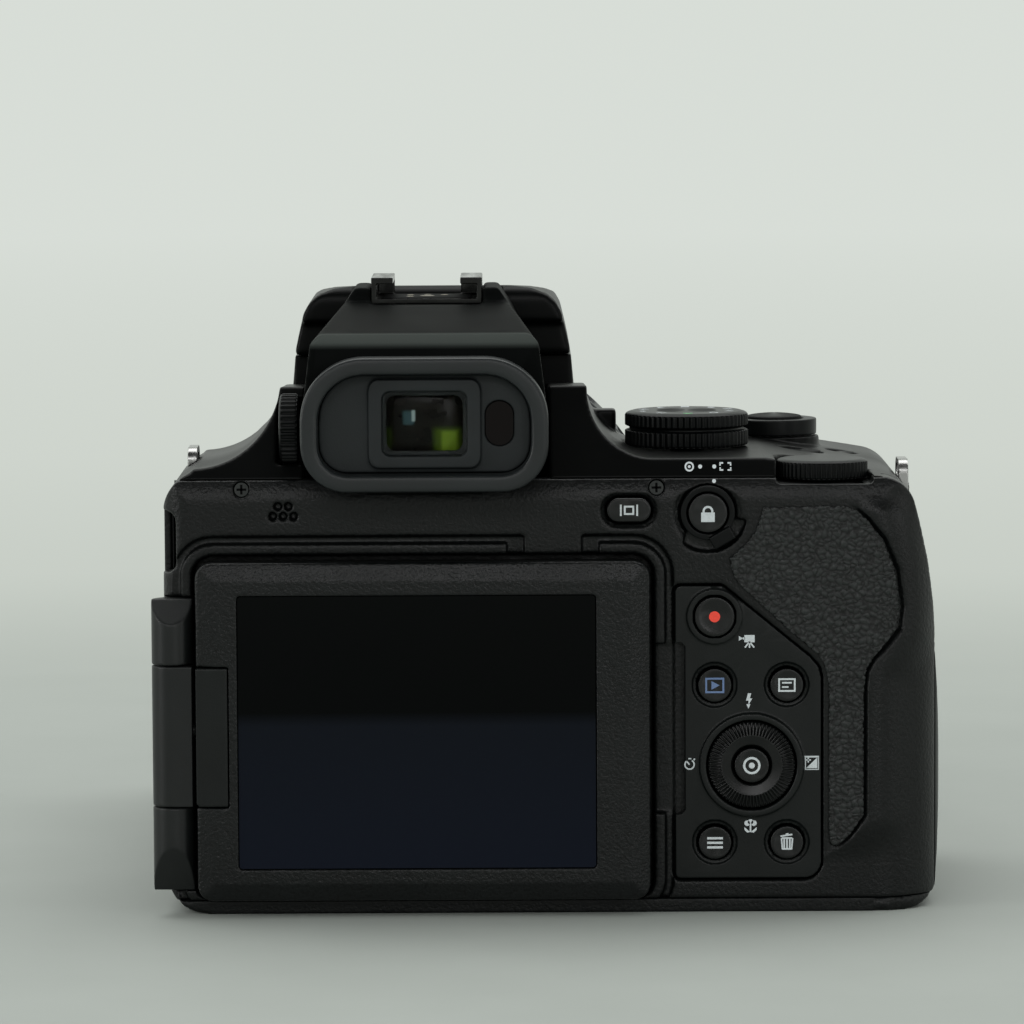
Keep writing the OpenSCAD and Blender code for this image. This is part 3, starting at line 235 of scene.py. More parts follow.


# Plastics: colour, roughness, grain and its depth in millimetres, shine, worn edges, the depth of pits
# painted darker as shade and their size
MATERIAL = {
    "rear": plastic("grained_plastic", (0.0024, 0.0031, 0.0030), 0.37, 0.25, 0.02, 0.27, 0.3, 0.11, 0.62),
    "top": plastic("satin_plastic", (0.0012, 0.0015, 0.0014), 0.36, 0.3, 0.012, 0.1, 0.2),
    "panel": plastic("panel_plastic", (0.0030, 0.0042, 0.0039), 0.38, 0.3, 0.02, 0.27, 0.4),
    "bezel": plastic("bezel_plastic", (0.0026, 0.0034, 0.0034), 0.33, 0.25, 0.02, 0.29, 0.2, 0.14, 0.52),
    "hinge": plastic("hinge_plastic", (0.0056, 0.0067, 0.0065), 0.4, 0.35, 0.02, 0.34, 0.15),
    "rubber": plastic("eyecup_rubber", (0.0074, 0.0096, 0.0102), 0.42, 0.35, 0.015, 0.4, 0.1),
    "frame": plastic("eyepiece_plastic", (0.0135, 0.0163, 0.0168), 0.58, 0.3, 0.02, 0.25, 0.15),
    "dial": plastic("dial_plastic", (0.0018, 0.0024, 0.0024), 0.36, 0.35, 0.012, 0.15, 0.5),
    "barrel": plastic("barrel_paint", (0.0062, 0.0068, 0.0068), 0.45, 0.28, 0.014, 0.32, 0.3),
    "baffle": plastic("baffle_black", (0.0016, 0.0016, 0.0018), 0.7, 0.4, 0.02, 0.06, 0.0),
    "skin": leather("leather_skin", (0.0112, 0.0134, 0.0127), 0.44),
    "cap_y": turned("button_cap", (0.0018, 0.0022, 0.0022), 0.3, "Y", 0.38),
    "cap_z": turned("button_cap_top", (0.0035, 0.004, 0.004), 0.45, "Z", 0.12),
    "silver": metal("shoe_steel", (0.03, 0.03, 0.0295), 0.2, (1, 0.12, 1), 2.5),
    "lug": metal("lug_steel", (0.4, 0.4, 0.39), 0.28, grain=4),
    "plate": metal("chassis_metal", (0.5, 0.5, 0.51), 0.45, (0.2, 1, 1)),
    "brass": metal("bush_brass", (0.62, 0.47, 0.2), 0.36, (1, 1, 0.2)),
    "contact": metal("contact_metal", (0.2, 0.17, 0.12), 0.3),
    "screw": metal("black_screw", (0.06, 0.062, 0.062), 0.28),
    "white": paint("white_mark", (0.6, 0.65, 0.66)),
    "blue": paint("blue_mark", (0.13, 0.2, 0.36)),
    "red": paint("red_mark", (0.95, 0.075, 0.045), 0.4),
    "green": paint("green_mark", (0.12, 0.4, 0.16)),
    "cell": paint("cell_wrap", (0.06, 0.065, 0.075), 0.45),
    "clear": glass("clear_glass", (0.97, 0.98, 0.97), 0.01, 0, 0.5, 1.0, 1.06),
    "lens": glass("lens_glass", (0.32, 0.3, 0.4), 0.01, 115.0, 0.5, 1.0, 1.45),
    "lens_deep": glass("lens_glass_deep", (0.008, 0.007, 0.014), 0.03, 130.0, 0.5),
    "sensor": glass("sensor_window", (0.0028, 0.0011, 0.0011), 0.08, 0, 0.12),
    "board": board_mat(),
}


def screen_mat():
    """Dark display behind glass with a painted reflection: black above, navy below where it mirrors the
    floor, and faint smears.
    """
    n = Net("display_glass")
    sep = n.add("ShaderNodeSeparateXYZ")
    n.link(n.coord.outputs["Object"], sep.inputs["Vector"])
    # Painted reflection: navy below this height, black above it
    fall = n.span(sep.outputs["Z"], 1.0, 0.0, 0.0357, 0.0382)
    low = n.mix(n.span(sep.outputs["Z"], 0.0, 1.0, 0.009, 0.036),
                (0.0062, 0.0082, 0.0146), (0.0056, 0.0072, 0.0108))
    n.set(Base_Color=n.mix(fall, (0.0011, 0.0014, 0.0015), low),
          Roughness=n.span(n.noise(9, 4, (1, 1, 2)), 0.05, 0.1, 0.45, 0.8), Specular_IOR_Level=0.06)
    return n.mat


def eyepiece_reflections_mat():
    """The eyepiece's inner element: brown black, with painted reflections: green and yellow ones of the
    coating and one pale one of a window.
    """
    n = Net("eyepiece_painted_reflections")
    sep = n.add("ShaderNodeSeparateXYZ")
    n.link(n.coord.outputs["Object"], sep.inputs["Vector"])

    def reflection_patch(x0, x1, z0, z1, blur):
        f = None
        for out, a, b, start in (("X", x0, x0 + blur, 0.0), ("X", x1 - blur, x1, 1.0),
                                 ("Z", z0, z0 + blur, 0.0), ("Z", z1 - blur, z1, 1.0)):
            g = n.span(sep.outputs[out], start, 1.0 - start, a * MM, b * MM)
            if f:
                m = n.add("ShaderNodeMath", operation="MULTIPLY")
                n.link(f, m.inputs[0])
                n.link(g, m.inputs[1])
                g = m.outputs[0]
            f = g
        return f

    col = n.ramp(n.noise(3, 2), [(0.35, (0.0024, 0.0022, 0.0015)), (0.65, (0.006, 0.0052, 0.0034))])
    # Painted reflections: each patch is colour standing in for light mirrored in the glass
    col = n.mix(reflection_patch(0.4, 6.4, 84.6, 91.3, 1.1), col, (0.05, 0.09, 0.006))
    col = n.mix(reflection_patch(1.9, 5.4, 85.4, 90.6, 0.7), col, (0.15, 0.24, 0.02))
    col = n.mix(reflection_patch(-8.9, -6.6, 85.0, 91.2, 0.7), col, (0.03, 0.055, 0.006))
    col = n.mix(reflection_patch(-5.0, -2.5, 91.2, 94.2, 0.5), col, (0.035, 0.075, 0.085))
    col = n.mix(reflection_patch(-3.3, -2.4, 91.9, 94.2, 0.3), col, (0.32, 0.4, 0.4))
    n.bump([(n.noise(5, 2), 0.02)])
    n.set(Base_Color=col, Roughness=n.span(n.noise(3, 2), 0.12, 0.25), Specular_IOR_Level=0.1)
    return n.mat


def flash_mat():
    """The flash's milky window."""
    n = Net("flash_diffuser")
    n.bump([(n.noise(0.6, 2), 0.03)])
    col = n.ramp(n.noise(5, 2), [(0.3, (0.6, 0.62, 0.62)), (0.7, (0.72, 0.74, 0.73))])
    n.set(Base_Color=col, Roughness=0.22, Transmission_Weight=0.35, IOR=1.45)
    return n.mat


def hood_mat():
    """The finder's hood: dark, with a painted highlight on the rear rim where the rubber boot turns over it.
    """
    n = Net("hood_plastic")
    sep = n.add("ShaderNodeSeparateXYZ")
    n.link(n.coord.outputs["Object"], sep.inputs["Vector"])
    rim = n.add("ShaderNodeMath", operation="MULTIPLY")
    n.link(n.span(sep.outputs["Y"], 1.0, 0.0, -0.0338, -0.0322), rim.inputs[0])
    n.link(n.span(sep.outputs["Z"], 0.0, 1.0, 0.1052, 0.1064), rim.inputs[1])
    col = n.ramp(n.noise(11, 3), [(0.3, (0.0016, 0.0021, 0.0020)), (0.7, (0.0024, 0.0030, 0.0028))])
    n.bump([(n.noise(0.3, 3), 0.02)])
    # Painted highlight: the rear rim's band is painted paler as if lit
    n.set(Base_Color=n.mix(rim.outputs[0], col, (0.036, 0.042, 0.038)), Specular_IOR_Level=0.03,
          Roughness=n.span(n.noise(26, 2), 0.5, 0.6))
    return n.mat


MATERIAL["screen"] = screen_mat()
MATERIAL["hood"] = hood_mat()
MATERIAL["coating"] = eyepiece_reflections_mat()
MATERIAL["flash"] = flash_mat()

# Looks of the CAD nodes by slot; the pieces below stand in for most of these nodes
by_slot = {
    "shell": "top", "skin": "skin", "dial": "dial", "button": "cap_z", "metal": "silver", "plate": "plate",
    "brass": "brass", "board": "board", "cell": "cell", "lens_glass": "lens_deep", "screen_glass": "screen",
    "window": "flash", "eye_glass": "clear", "sensor_window": "sensor",
}
for name, o in nodes.items():
    o.data.materials.clear()
    o.data.materials.append(MATERIAL[by_slot[slot_of[name]]])
nodes["case_screws"].data.materials[0] = MATERIAL["screw"]


# Pieces
def adopt(o, node, mat):
    """The piece stands for a node, which is hidden: it takes a material and rides on the node's body."""
    o.data.materials.clear()
    o.data.materials.append(MATERIAL[mat])
    o.data.shade_smooth()
    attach(o, body_of[node])
    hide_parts(node)


def extra(o, mat, body):
    """A piece that the CAD has no node for."""
    o.data.materials.clear()
    o.data.materials.append(MATERIAL[mat])
    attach(o, body)


def put(name, data):
    o = bpy.data.objects.new(name, data)
    scene.collection.objects.link(o)
    return o


def baked(o):
    """The piece's modifiers become part of its mesh."""
    mesh = bpy.data.meshes.new_from_object(o.evaluated_get(bpy.context.evaluated_depsgraph_get()))
    o.modifiers.clear()
    old = o.data
    o.data = mesh
    bpy.data.meshes.remove(old)


def points(o):
    """The piece's points and normals, the points in millimetres."""
    out = []
    for what in ("co", "normal"):
        a = np.empty(len(o.data.vertices) * 3)
        o.data.vertices.foreach_get(what, a)
        out.append(a.reshape(-1, 3))
    return out[0] / MM, out[1]


# How deep each point of the last pressed skin lies, for its material
pressed = []


def soft(node, mat, voxel, rounds, keep, shape=None):
    """The node's own shape with rounded edges: fine voxels, smoothing rounds, any finer form, fewer faces."""
    o = put(node + "_shape", nodes[node].data.copy())
    o.modifiers.new("weld", "WELD").merge_threshold = 1e-6
    r = o.modifiers.new("voxels", "REMESH")
    r.mode = "VOXEL"
    r.voxel_size = voxel * MM * 1
    s = o.modifiers.new("round", "SMOOTH")
    s.iterations = rounds
    s.factor = 0.5
    baked(o)
    if shape:
        spots = shape(*points(o))
        o.data.vertices.foreach_set("co", (spots * MM).ravel())
        if pressed:
            o.data.attributes.new("fold", "FLOAT", "POINT").data.foreach_set("value", pressed.pop())
        o.data.update()
    d = o.modifiers.new("fewer", "DECIMATE")
    d.ratio = keep
    baked(o)
    adopt(o, node, mat)


def outward(name, verts, faces):
    """A mesh of these faces, all of them turned outward."""
    mesh = bpy.data.meshes.new(name)
    mesh.from_pydata(verts, [], faces)
    b = bmesh.new()
    b.from_mesh(mesh)
    bmesh.ops.recalc_face_normals(b, faces=b.faces)
    b.to_mesh(mesh)
    b.free()
    return mesh


def stack(name, loops, closed=False):
    """A closed skin over a row of equal loops; a closed row joins its last loop to its first."""
    count = len(loops[0])
    verts = [tuple(p) for loop in loops for p in loop]
    faces = []
    rows = list(range(len(loops) - 1)) + ([len(loops) - 1] if closed else [])
    for i in rows:
        a, b = i * count, ((i + 1) % len(loops)) * count
        faces += [(a + j, a + (j + 1) % count, b + (j + 1) % count, b + j) for j in range(count)]
    if not closed:
        for loop, first in ((loops[0], 0), (loops[-1], (len(loops) - 1) * count)):
            verts.append(tuple(np.mean(loop, axis=0)))
            faces += [(len(verts) - 1, first + j, first + (j + 1) % count) for j in range(count)]
    mesh = outward(name, verts, faces)
    mesh.shade_smooth()
    return put(name, mesh)


def fillet(corners, radii, steps=5):
    """A drawn line with its corners rounded."""
    out = []
    for i, p in enumerate(corners):
        r = radii[i] if isinstance(radii, (list, tuple)) else radii
        if i in (0, len(corners) - 1) or r <= 0:
            out.append(tuple(p))
            continue
        p0, p1, p2 = (np.array(corners[k][:2], float) for k in (i - 1, i, i + 1))
        a, b = (p0 - p1), (p2 - p1)
        la, lb = np.linalg.norm(a), np.linalg.norm(b)
        t = min(r, la * 0.48, lb * 0.48)
        s, e = p1 + a / la * t, p1 + b / lb * t
        for k in range(steps + 1):
            u = k / steps
            out.append(tuple((1 - u) ** 2 * s + 2 * u * (1 - u) * p1 + u * u * e))
    return out


def about(axis, c):
    """Places radius, height and angle on a rear (-Y), top (+Z), side (-X) or lens (+Y) axis through c."""
    def place(r, h, a):
        u, v = r * np.cos(a), r * np.sin(a)
        if axis == "rear":
            p = np.stack([c[0] + u, np.full_like(u, c[1]) - h, c[2] + v], 1)
        elif axis == "top":
            p = np.stack([c[0] + u, c[1] + v, np.full_like(u, c[2]) + h], 1)
        elif axis == "side":
            p = np.stack([np.full_like(u, c[0]) - h, c[1] + u, c[2] + v], 1)
        else:
            p = np.stack([c[0] + u, np.full_like(u, c[1]) + h, c[2] + v], 1)
        return p * MM
    return place


def turn(name, axis, c, line, count=96, teeth=0, closed=False, sharp=3.0):
    """A turned piece. A point of line is radius, height and, if teeth cut there, how far in and down."""
    place = about(axis, c)
    a = np.linspace(0, 2 * np.pi, count, endpoint=False)
    wave = np.zeros(count)
    if teeth:
        wave = 0.5 + 0.5 * np.tanh(sharp * np.cos(teeth * a)) / math.tanh(sharp)
    loops = []
    for p in line:
        cut = p[2] if len(p) > 2 else 0.0
        drop = p[3] if len(p) > 3 else 0.0
        loops.append(place(p[0] - cut * wave, p[1] - drop * wave, a))
    return stack(name, loops, closed)


# Sizes of the CAD that the finer forms need, in millimetres: the lens axis, the rear face, the height from
# which it leans forward, how steeply, how far that fold is rolled, and the middle of the finder
LENS_Z = 50.0
REAR = -26.0
FOLD = 78.4
LEAN = 10 / 16.5
ROLL = 2.4
FINDER_X, FINDER_Z = -0.8, 91.8
# The thumb pad's outer edge as X and Z, from its top to its foot, and the height of the swell beside it
PAD_EDGE = np.array([(76.2, 75.4), (78.2, 74.8), (80.4, 72.8), (83.3, 69.1), (85.6, 63.3), (86.4, 56.5),
                     (86, 52.8), (84.1, 50.2), (81.6, 47.4), (80.1, 44.7), (79.8, 40.4), (79.75, 18),
                     (77, 14.1), (74.8, 12.3)])
SWELL = 1.35
# The hood's rim: the height where it starts, its rear face and its slope
RIM_Z, RIM_Y, RIM_SLOPE = 105.7, -36, 0.9
# The finder's lower corners: radius, half width, lowest height, and how far forward they are rounded
CORNER_R, CORNER_HALF, CORNER_LOW, CORNER_Y = 11.0, 21.6, 79.6, -16.0


def ease(x, a, b):
    t = np.clip((x - a) / (b - a), 0, 1)
    return t * t * (3 - 2 * t)


def rear_line(z):
    """The rear face's place at a height, with the fold rolled round."""
    z = np.asarray(z, float)
    roll = LEAN * np.maximum(0, ROLL - np.abs(z - FOLD)) ** 2 / (4 * ROLL)
    return REAR + LEAN * np.maximum(0, z - FOLD) + roll


def rolled(spots, normals):
    """The fold of the rear face, rolled round."""
    on = (spots[:, 2] > FOLD - ROLL) & (spots[:, 1] < -15)
    spots[on, 1] = np.maximum(spots[on, 1], rear_line(spots[on, 2]))
    return spots


def thumb_rest(spots, normals):
    """The rear face swells beside the thumb pad's outer edge and falls away to the corner."""
    spots = rolled(spots, normals)
    # Points of the rear skin round the pad
    on = np.where((spots[:, 0] > 72) & (spots[:, 1] < -14) & (normals[:, 1] < -0.15))[0]
    q = spots[on][:, [0, 2]]
    best = np.full(len(q), 1e9)
    side = np.zeros(len(q))
    for a, b in zip(PAD_EDGE[:-1], PAD_EDGE[1:]):
        t = b - a
        k = np.clip(((q - a) @ t) / (t @ t), 0, 1)
        d = q - (a + k[:, None] * t)
        dist = np.hypot(d[:, 0], d[:, 1])
        near = dist < best
        best[near] = dist[near]
        side[near] = (t[0] * d[:, 1] - t[1] * d[:, 0])[near]
    # The swell rises steeply beside the edge and falls away slowly outward
    up = SWELL * ease(best, 0.1, 0.7) * (1 - ease(best, 1.4, 9.5)) * (side > 0)
    # It fades out at the top, at the foot and, high up, towards the pad
    up *= (1 - ease(q[:, 1], 74.0, 78.0)) * ease(q[:, 1], 9.0, 17.0)
    up *= np.where(q[:, 1] > 62, ease(q[:, 0], 76.5, 83.5), 1.0)
    spots[on] += normals[on] * up[:, None]
    return spots


def pebbles(mm, deep, flat=1.0):
    """A leather grain pressed into a skin: folds run between irregular pebbles."""
    def press(spots, normals):
        sunk = np.zeros(len(spots))
        for i, p in enumerate(spots):
            q = Vector((p[0], p[1], p[2] * flat)) / mm
            q += 0.4 * noise.noise_vector(q * 0.8)
            # Fold is 0 in the groove between two pebbles and 1 on top of one
            d, _ = noise.voronoi(q)
            fold = min(1.0, (d[1] - d[0]) / 0.34)
            sunk[i] = (1 - fold * (2 - fold)) + 0.25 * (0.5 - 0.5 * noise.noise(q * 0.4))
        pressed.append(sunk)
        return spots - normals * (sunk * deep)[:, None]
    return press


def bevelled(spots, normals):
    """The hood's rear rim slopes where the rubber boot turns over it, and its lower corners are round."""
    on = spots[:, 2] > RIM_Z
    spots[on, 1] = np.maximum(spots[on, 1], RIM_Y + (spots[on, 2] - RIM_Z) * RIM_SLOPE)
    for side in (-1, 1):
        cx, cz = FINDER_X + side * (CORNER_HALF - CORNER_R), CORNER_LOW + CORNER_R
        u, v = (spots[:, 0] - cx) * side, cz - spots[:, 2]
        d = np.hypot(u, v)
        on = (u > 0) & (v > 0) & (d > CORNER_R) & (spots[:, 1] < CORNER_Y)
        k = CORNER_R / d[on]
        spots[on, 0] = cx + side * u[on] * k
        spots[on, 2] = cz - v[on] * k
    return spots


# The leather grain is the same on every run; without a seed its noise starts from the clock
GRAIN_SEED = 7
noise.seed_set(GRAIN_SEED)

# Moulded pieces: material, voxel in millimetres, smoothing rounds, share of faces kept, finer form
soft("rear_cover", "rear", 0.3, 6, 0.18, thumb_rest)
soft("top_cover", "top", 0.34, 8, 0.22, rolled)
soft("front_cover", "top", 0.5, 6, 0.15)
soft("base_plate", "rear", 0.5, 3, 0.2)
soft("finder_housing", "hood", 0.36, 10, 0.15, bevelled)
soft("flash_housing", "top", 0.45, 10, 0.15)
soft("terminal_door", "rear", 0.25, 4, 0.12)
soft("battery_door", "rear", 0.25, 3, 0.3)
soft("screen_bezel", "bezel", 0.26, 8, 0.22)
soft("screen_back", "rear", 0.4, 4, 0.15)
soft("hinge_bracket", "hinge", 0.2, 6, 0.2)
soft("hinge_arm", "hinge", 0.2, 5, 0.25)
soft("swivel_bracket", "panel", 0.2, 4, 0.3)
soft("control_panel", "panel", 0.2, 4, 0.2)
soft("eyecup", "rubber", 0.24, 60, 0.25)
soft("eyepiece_frame", "frame", 0.2, 16, 0.4)
soft("accessory_shoe", "silver", 0.13, 3, 0.15)
soft("strap_lugs", "lug", 0.12, 4, 0.3)
soft("focus_lever", "dial", 0.12, 5, 0.5)
soft("zoom_lever", "dial", 0.16, 6, 0.25)
soft("thumb_pad", "skin", 0.16, 5, 0.4, pebbles(1.2, 0.26, 1.15))
soft("grip_skin", "skin", 0.26, 4, 0.35, pebbles(1.3, 0.24))

# Where the dials and the display button stand, and the height of the mode dial's top, in millimetres
MODE_X, MODE_Y, MODE_TOP = 48.1, 5, 90.84
MODE_DIAL = (MODE_X, MODE_Y, 84.3)
COMMAND_DIAL = (72.6, -14, 79.6)
DIOPTER_DIAL = (-24.3, -20, 89.7)
DISPLAY_X, DISPLAY_Z = 36.5, 74.8
# Round buttons on the rear: X and Z of the middle, then radius, height and hollow of the cap
LEFT_X, RIGHT_X, PLAY_Z, MENU_Z = 52.2, 65.5, 42.3, 13.0
SMALL, DISH = 0.88, 0.16
REAR_BUTTONS = {
    "record_button": (LEFT_X, 55, 3.68, SMALL, 0.3),
    "playback_button": (LEFT_X, PLAY_Z, 3.08, SMALL, DISH),
    "info_button": (RIGHT_X, PLAY_Z, 3.03, SMALL, DISH),
    "menu_button": (LEFT_X, MENU_Z, 3.03, SMALL, DISH),
    "delete_button": (RIGHT_X, MENU_Z, 3.03, SMALL, DISH),
    "ok_button": (59.0, 27.4, 3.18, 1.18, 0.12),
    "lock_button": (51, 74.2, 3.58, 1.08, 0.12),
}
# Share of a cap's radius that is hollowed
HOLLOW = 0.85


# Dials. A turned outline is a row of radius and height in millimetres.
def dial(node, axis, c, line, teeth, per):
    """A toothed dial, with per points to a tooth."""
    count = teeth * per
    adopt(turn(node + "_turned", axis, c, line, count, teeth, sharp=2.0), node, "dial")


def toothed(line, flags, radii, cut):
    """Fillets a line, then marks the points between the flagged heights as toothed."""
    out = []
    for r, h in fillet(line, radii):
        on = any(lo <= h <= hi and r > rmin for lo, hi, rmin in flags)
        out.append((r, h, cut if on else 0.0))
    return out


outline = [(0, 6.55), (10.3, 6.55), (11.2, 6.3), (11.65, 5.9), (11.65, 3.9), (10.8, 3.55), (10.8, 3.2),
           (11.65, 2.9), (11.65, 0.35), (11.3, 0.05), (3.0, 0.05), (3.0, -3.4), (0, -3.4)]
rounds = [0, 0.1, 0.3, 0.3, 0.15, 0.1, 0.1, 0.15, 0.2, 0.1, 0, 0, 0]
line = toothed(outline, [(3.75, 5.95, 11.0), (0.2, 3.0, 11.0)], rounds, 0.34)
dial("mode_dial", "top", MODE_DIAL, line, 64, 10)
rounds = [0, 0.2, 0.3, 0.3, 0.2, 0.1, 0, 0, 0]
outline = [(0, 3.62), (7.4, 3.62), (8.1, 3.45), (8.55, 3.05), (8.55, 0.4), (8.2, 0.05), (2.0, 0.05),
           (2.0, -1.5), (0, -1.5)]
line = toothed(outline, [(0.3, 3.15, 8.0)], rounds, 0.32)
dial("command_dial", "top", COMMAND_DIAL, line, 56, 10)
outline = [(0, 3.55), (5.2, 3.55), (6.0, 3.4), (6.45, 3.0), (6.45, 0.4), (6.1, 0.05), (2.0, 0.05),
           (2.0, -5.8), (0, -5.8)]
line = toothed(outline, [(0.3, 3.1, 5.9)], rounds, 0.36)
dial("diopter_dial", "side", DIOPTER_DIAL, line, 36, 12)

# The selector round the OK button: a smooth inner cone, then a ring of fine radial ridges
RIDGES = 68
ok_x, ok_z = REAR_BUTTONS["ok_button"][:2]
cone = [(3.53, -3.3), (3.53, 0.3), (3.8, 0.52), (5.2, 0.96), (5.5, 1.06)]
line = [(r, h, 0, 0) for r, h in fillet(cone, [0, 0.2, 0.2, 0.1, 0])]
line += [(5.56, 1.08, 0, 0), (5.7, 1.06, 0, 0.3), (7.4, 0.8, 0, 0.36), (7.75, 0.62, 0, 0.3),
         (7.95, 0.36, 0, 0.1), (8.05, 0.2, 0, 0), (8.05, -3.3, 0, 0)]
count = RIDGES * 10
o = turn("selector_turned", "rear", (ok_x, REAR, ok_z), line, count, RIDGES, closed=True, sharp=1.6)
adopt(o, "selector_dial", "cap_y")


# Buttons
def cap(node, axis, c, r, top, deep, mat, dish):
    """A button's cap, hollowed by dish at its middle or, where dish is below 0, domed."""
    edge = min(0.45, r * 0.16)
    line = []
    for k in (0.001, 0.2, 0.4, 0.6, 0.75, HOLLOW):
        h = top - dish * (1 - (k / HOLLOW) ** 2) if dish > 0 else top + dish * k * k
        line.append((r * k, h))
    line += fillet([line[-1], (r, top - 0.04 + min(0, dish)), (r, -deep)], [0, edge, 0], 7)[1:]
    line += [(r - 0.1, -deep - 0.05)]
    adopt(turn(node + "_cap", axis, c, line), node, mat)


for node, (x, z, r, top, dish) in REAR_BUTTONS.items():
    cap(node, "rear", (x, REAR, z), r, top, 3.9 if node == "ok_button" else 3.3, "cap_y", dish)
# Buttons on top: place of the middle, radius, height, depth, material, hollow
cap("shutter_button", "top", (66, 32, 84), 5.35, 4.28, -1.45, "cap_z", -0.5)
cap("power_button", "top", (70, 13, 82.73), 3.98, -0.24, 1.95, "cap_z", 0.1)
cap("function_button", "top", (78.5, 24, 81.39), 2.58, -0.12, 1.95, "cap_z", -0.1)

# The display button: half circles of radius r, drawn apart to a pill
PILL_HALF, PILL_R = 1.85, 2.23
a = np.linspace(0, 2 * np.pi, 96, endpoint=False)
apart = PILL_HALF * np.sign(np.cos(a)) * np.minimum(1, np.abs(np.cos(a)) * 40)
loops = []
for r, h in [(0.33, 0.88)] + fillet([(1.2, 0.86), (PILL_R, 0.8), (PILL_R, -3.3)], [0, 0.4, 0], 6):
    x, z = DISPLAY_X + r * np.cos(a) + apart, DISPLAY_Z + r * np.sin(a)
    loops.append(np.stack([x, np.full(len(a), REAR - h), z], 1) * MM)
adopt(stack("display_cap", loops), "display_button", "cap_y")


# Lens
def lens_piece(node, mat, line, count=192, teeth=0, sharp=3.0):
    """A hollow piece turned on the lens axis."""
    o = turn(node + "_turned", "lens", (0, 0, LENS_Z), line, count, teeth, closed=True, sharp=sharp)
    adopt(o, node, mat)


def sag(r, radius):
    """How far a ball's surface falls back at r from its axis."""
    return radius - math.sqrt(radius ** 2 - r * r)


outline = [(16.06, 4), (43, 4), (43, 22), (46.5, 22), (46.5, 96.6), (46.2, 96.9), (46.2, 97.5), (46.5, 97.8),
           (46.5, 103.7), (45.0, 103.7), (45.0, 124.3), (46.5, 124.3), (46.5, 126.4), (46.25, 126.6),
           (46.25, 127.0), (46.5, 127.2), (46.5, 130), (45.5, 131), (43.6, 131), (43.6, 23.5), (41, 23.5),
           (41, 6), (16.06, 6)]
lens_piece("lens_barrel", "barrel", fillet(outline, 0.12, 3))
rib = [(45.3, 104), (46.7, 104), (47.25, 104.5), (47.25, 106.2)]
line = [(r, h, 0) for r, h in fillet(rib, 0.25, 4)]
line += [(47.27, 106.5, 0), (47.27, 106.9, 0.8), (47.27, 121.1, 0.8), (47.27, 121.5, 0)]
line += [(r, h, 0) for r, h in fillet([(47.25, 121.8), (47.25, 123.5), (46.7, 124), (45.3, 124)], 0.25, 4)]
lens_piece("control_ring", "rubber", line, 60 * (16), 60, sharp=2.5)
outline = [(37.9, 26), (42, 26), (42, 131.4), (41.7, 131.6), (41.7, 132), (42, 132.2), (42, 133.4),
           (41.4, 134), (40.4, 134), (40.4, 29), (37.9, 29)]
lens_piece("zoom_barrel_outer", "barrel", fillet(outline, 0.12, 3))
# The inner barrel with its filter thread, cut as six grooves
outline = [(36.6, 34), (40.1, 34), (40.1, 136.3), (39.85, 136.5), (39.85, 136.9), (40.1, 137.1),
           (40.1, 138.4), (39.5, 139), (38.9, 139)]
for k in range(6):
    outline += [(38.5, 138.3 - k * 0.9), (38.85, 138.05 - k * 0.9), (38.5, 137.8 - k * 0.9)]
outline += [(38.5, 133.0), (37.2, 132.7), (36.6, 132.2), (35.4, 132.2), (34.2, 131.9), (33.6, 130.6),
            (38.2, 130.6), (38.2, 36), (36.6, 36)]
lens_piece("zoom_barrel_inner", "barrel", outline)
line = [(0.02, 132.78)] + [(r, 132.78 - sag(r, 250)) for r in (6, 12, 18, 24, 28, 31, 33.2)]
line += [(33.4, 130.4), (38.05, 130.4), (38.05, 126.7), (36, 126.7)]
line += [(r, 128.65 - sag(r, 80) * 0.25) for r in (33, 28, 20, 10, 0.02)]
adopt(turn("front_element", "lens", (0, 0, LENS_Z), line, 160), "front_lens_group", "lens")
line = [(0.02, 106.98), (6, 106.78), (12, 106.18), (17, 105.35), (20.72, 104.52), (20.72, 100.62),
        (0.02, 100.62)]
adopt(turn("lens_second", "lens", (0, 0, LENS_Z), line, 128), "front_lens_group", "lens_deep")
# The baffle: eight black steps from the front element in to the second one
steps = [(18.8, 99.1), (22.8, 99.1), (38.1, 123.6), (38.1, 126.58)]
for k in range(7, -1, -1):
    r, y = 20.8 + 1.55 * (k + 1), 106.6 + 2.5 * k
    steps += [(r + 0.02, y + 2.48), (r, y + 0.25), (r - 0.25, y)]
steps += [(20.8, 106.6), (20.8, 100.6), (18.8, 100.6)]
lens_piece("lens_baffle", "baffle", steps, 128)

# Flash window: a plate of upright prisms
PRISMS, WINDOW_HALF, BACK, BOTTOM, TOP = 36, 20.8, 60.45, 103.1, 106.3
loops = []
for x in np.linspace(-WINDOW_HALF, WINDOW_HALF, 4 * PRISMS + 1):
    y = 61.86 - 0.28 * abs(((x / (2 * WINDOW_HALF) * PRISMS) % 1) - 0.5) * 2
    side = [(BACK, BOTTOM), (y - 0.12, BOTTOM), (y, BOTTOM + 0.2)]
    side += [(y, TOP - 0.2), (y - 0.12, TOP), (BACK, TOP)]
    loops.append(np.array([(x, *p) for p in side]) * MM)
adopt(stack("flash_prisms", loops), "flash_window", "flash")


# Small marks, as thin raised prints
def print_on(name, shapes, place, mat, body, deep=0.12):
    """Shapes are lists of points u, v in millimetres; place turns u, v and a height into a point."""
    verts, faces = [], []
    for poly in shapes:
        n, s = len(poly), len(verts)
        verts += [tuple(c * MM for c in place(u, v, 0.035)) for u, v in poly]
        verts += [tuple(c * MM for c in place(u, v, -deep)) for u, v in poly]
        faces += [tuple(range(s, s + n)), tuple(range(s + 2 * n - 1, s + n - 1, -1))]
        faces += [(s + j, s + n + j, s + n + (j + 1) % n, s + (j + 1) % n) for j in range(n)]
    extra(put(name, outward(name, verts, faces)), mat, body)


def rect(x, y, w, h):
    return [(x - w / 2, y - h / 2), (x + w / 2, y - h / 2), (x + w / 2, y + h / 2), (x - w / 2, y + h / 2)]


def disc(x, y, r):
    n = 28
    return [(x + r * math.cos(2 * math.pi * k / n), y + r * math.sin(2 * math.pi * k / n)) for k in range(n)]


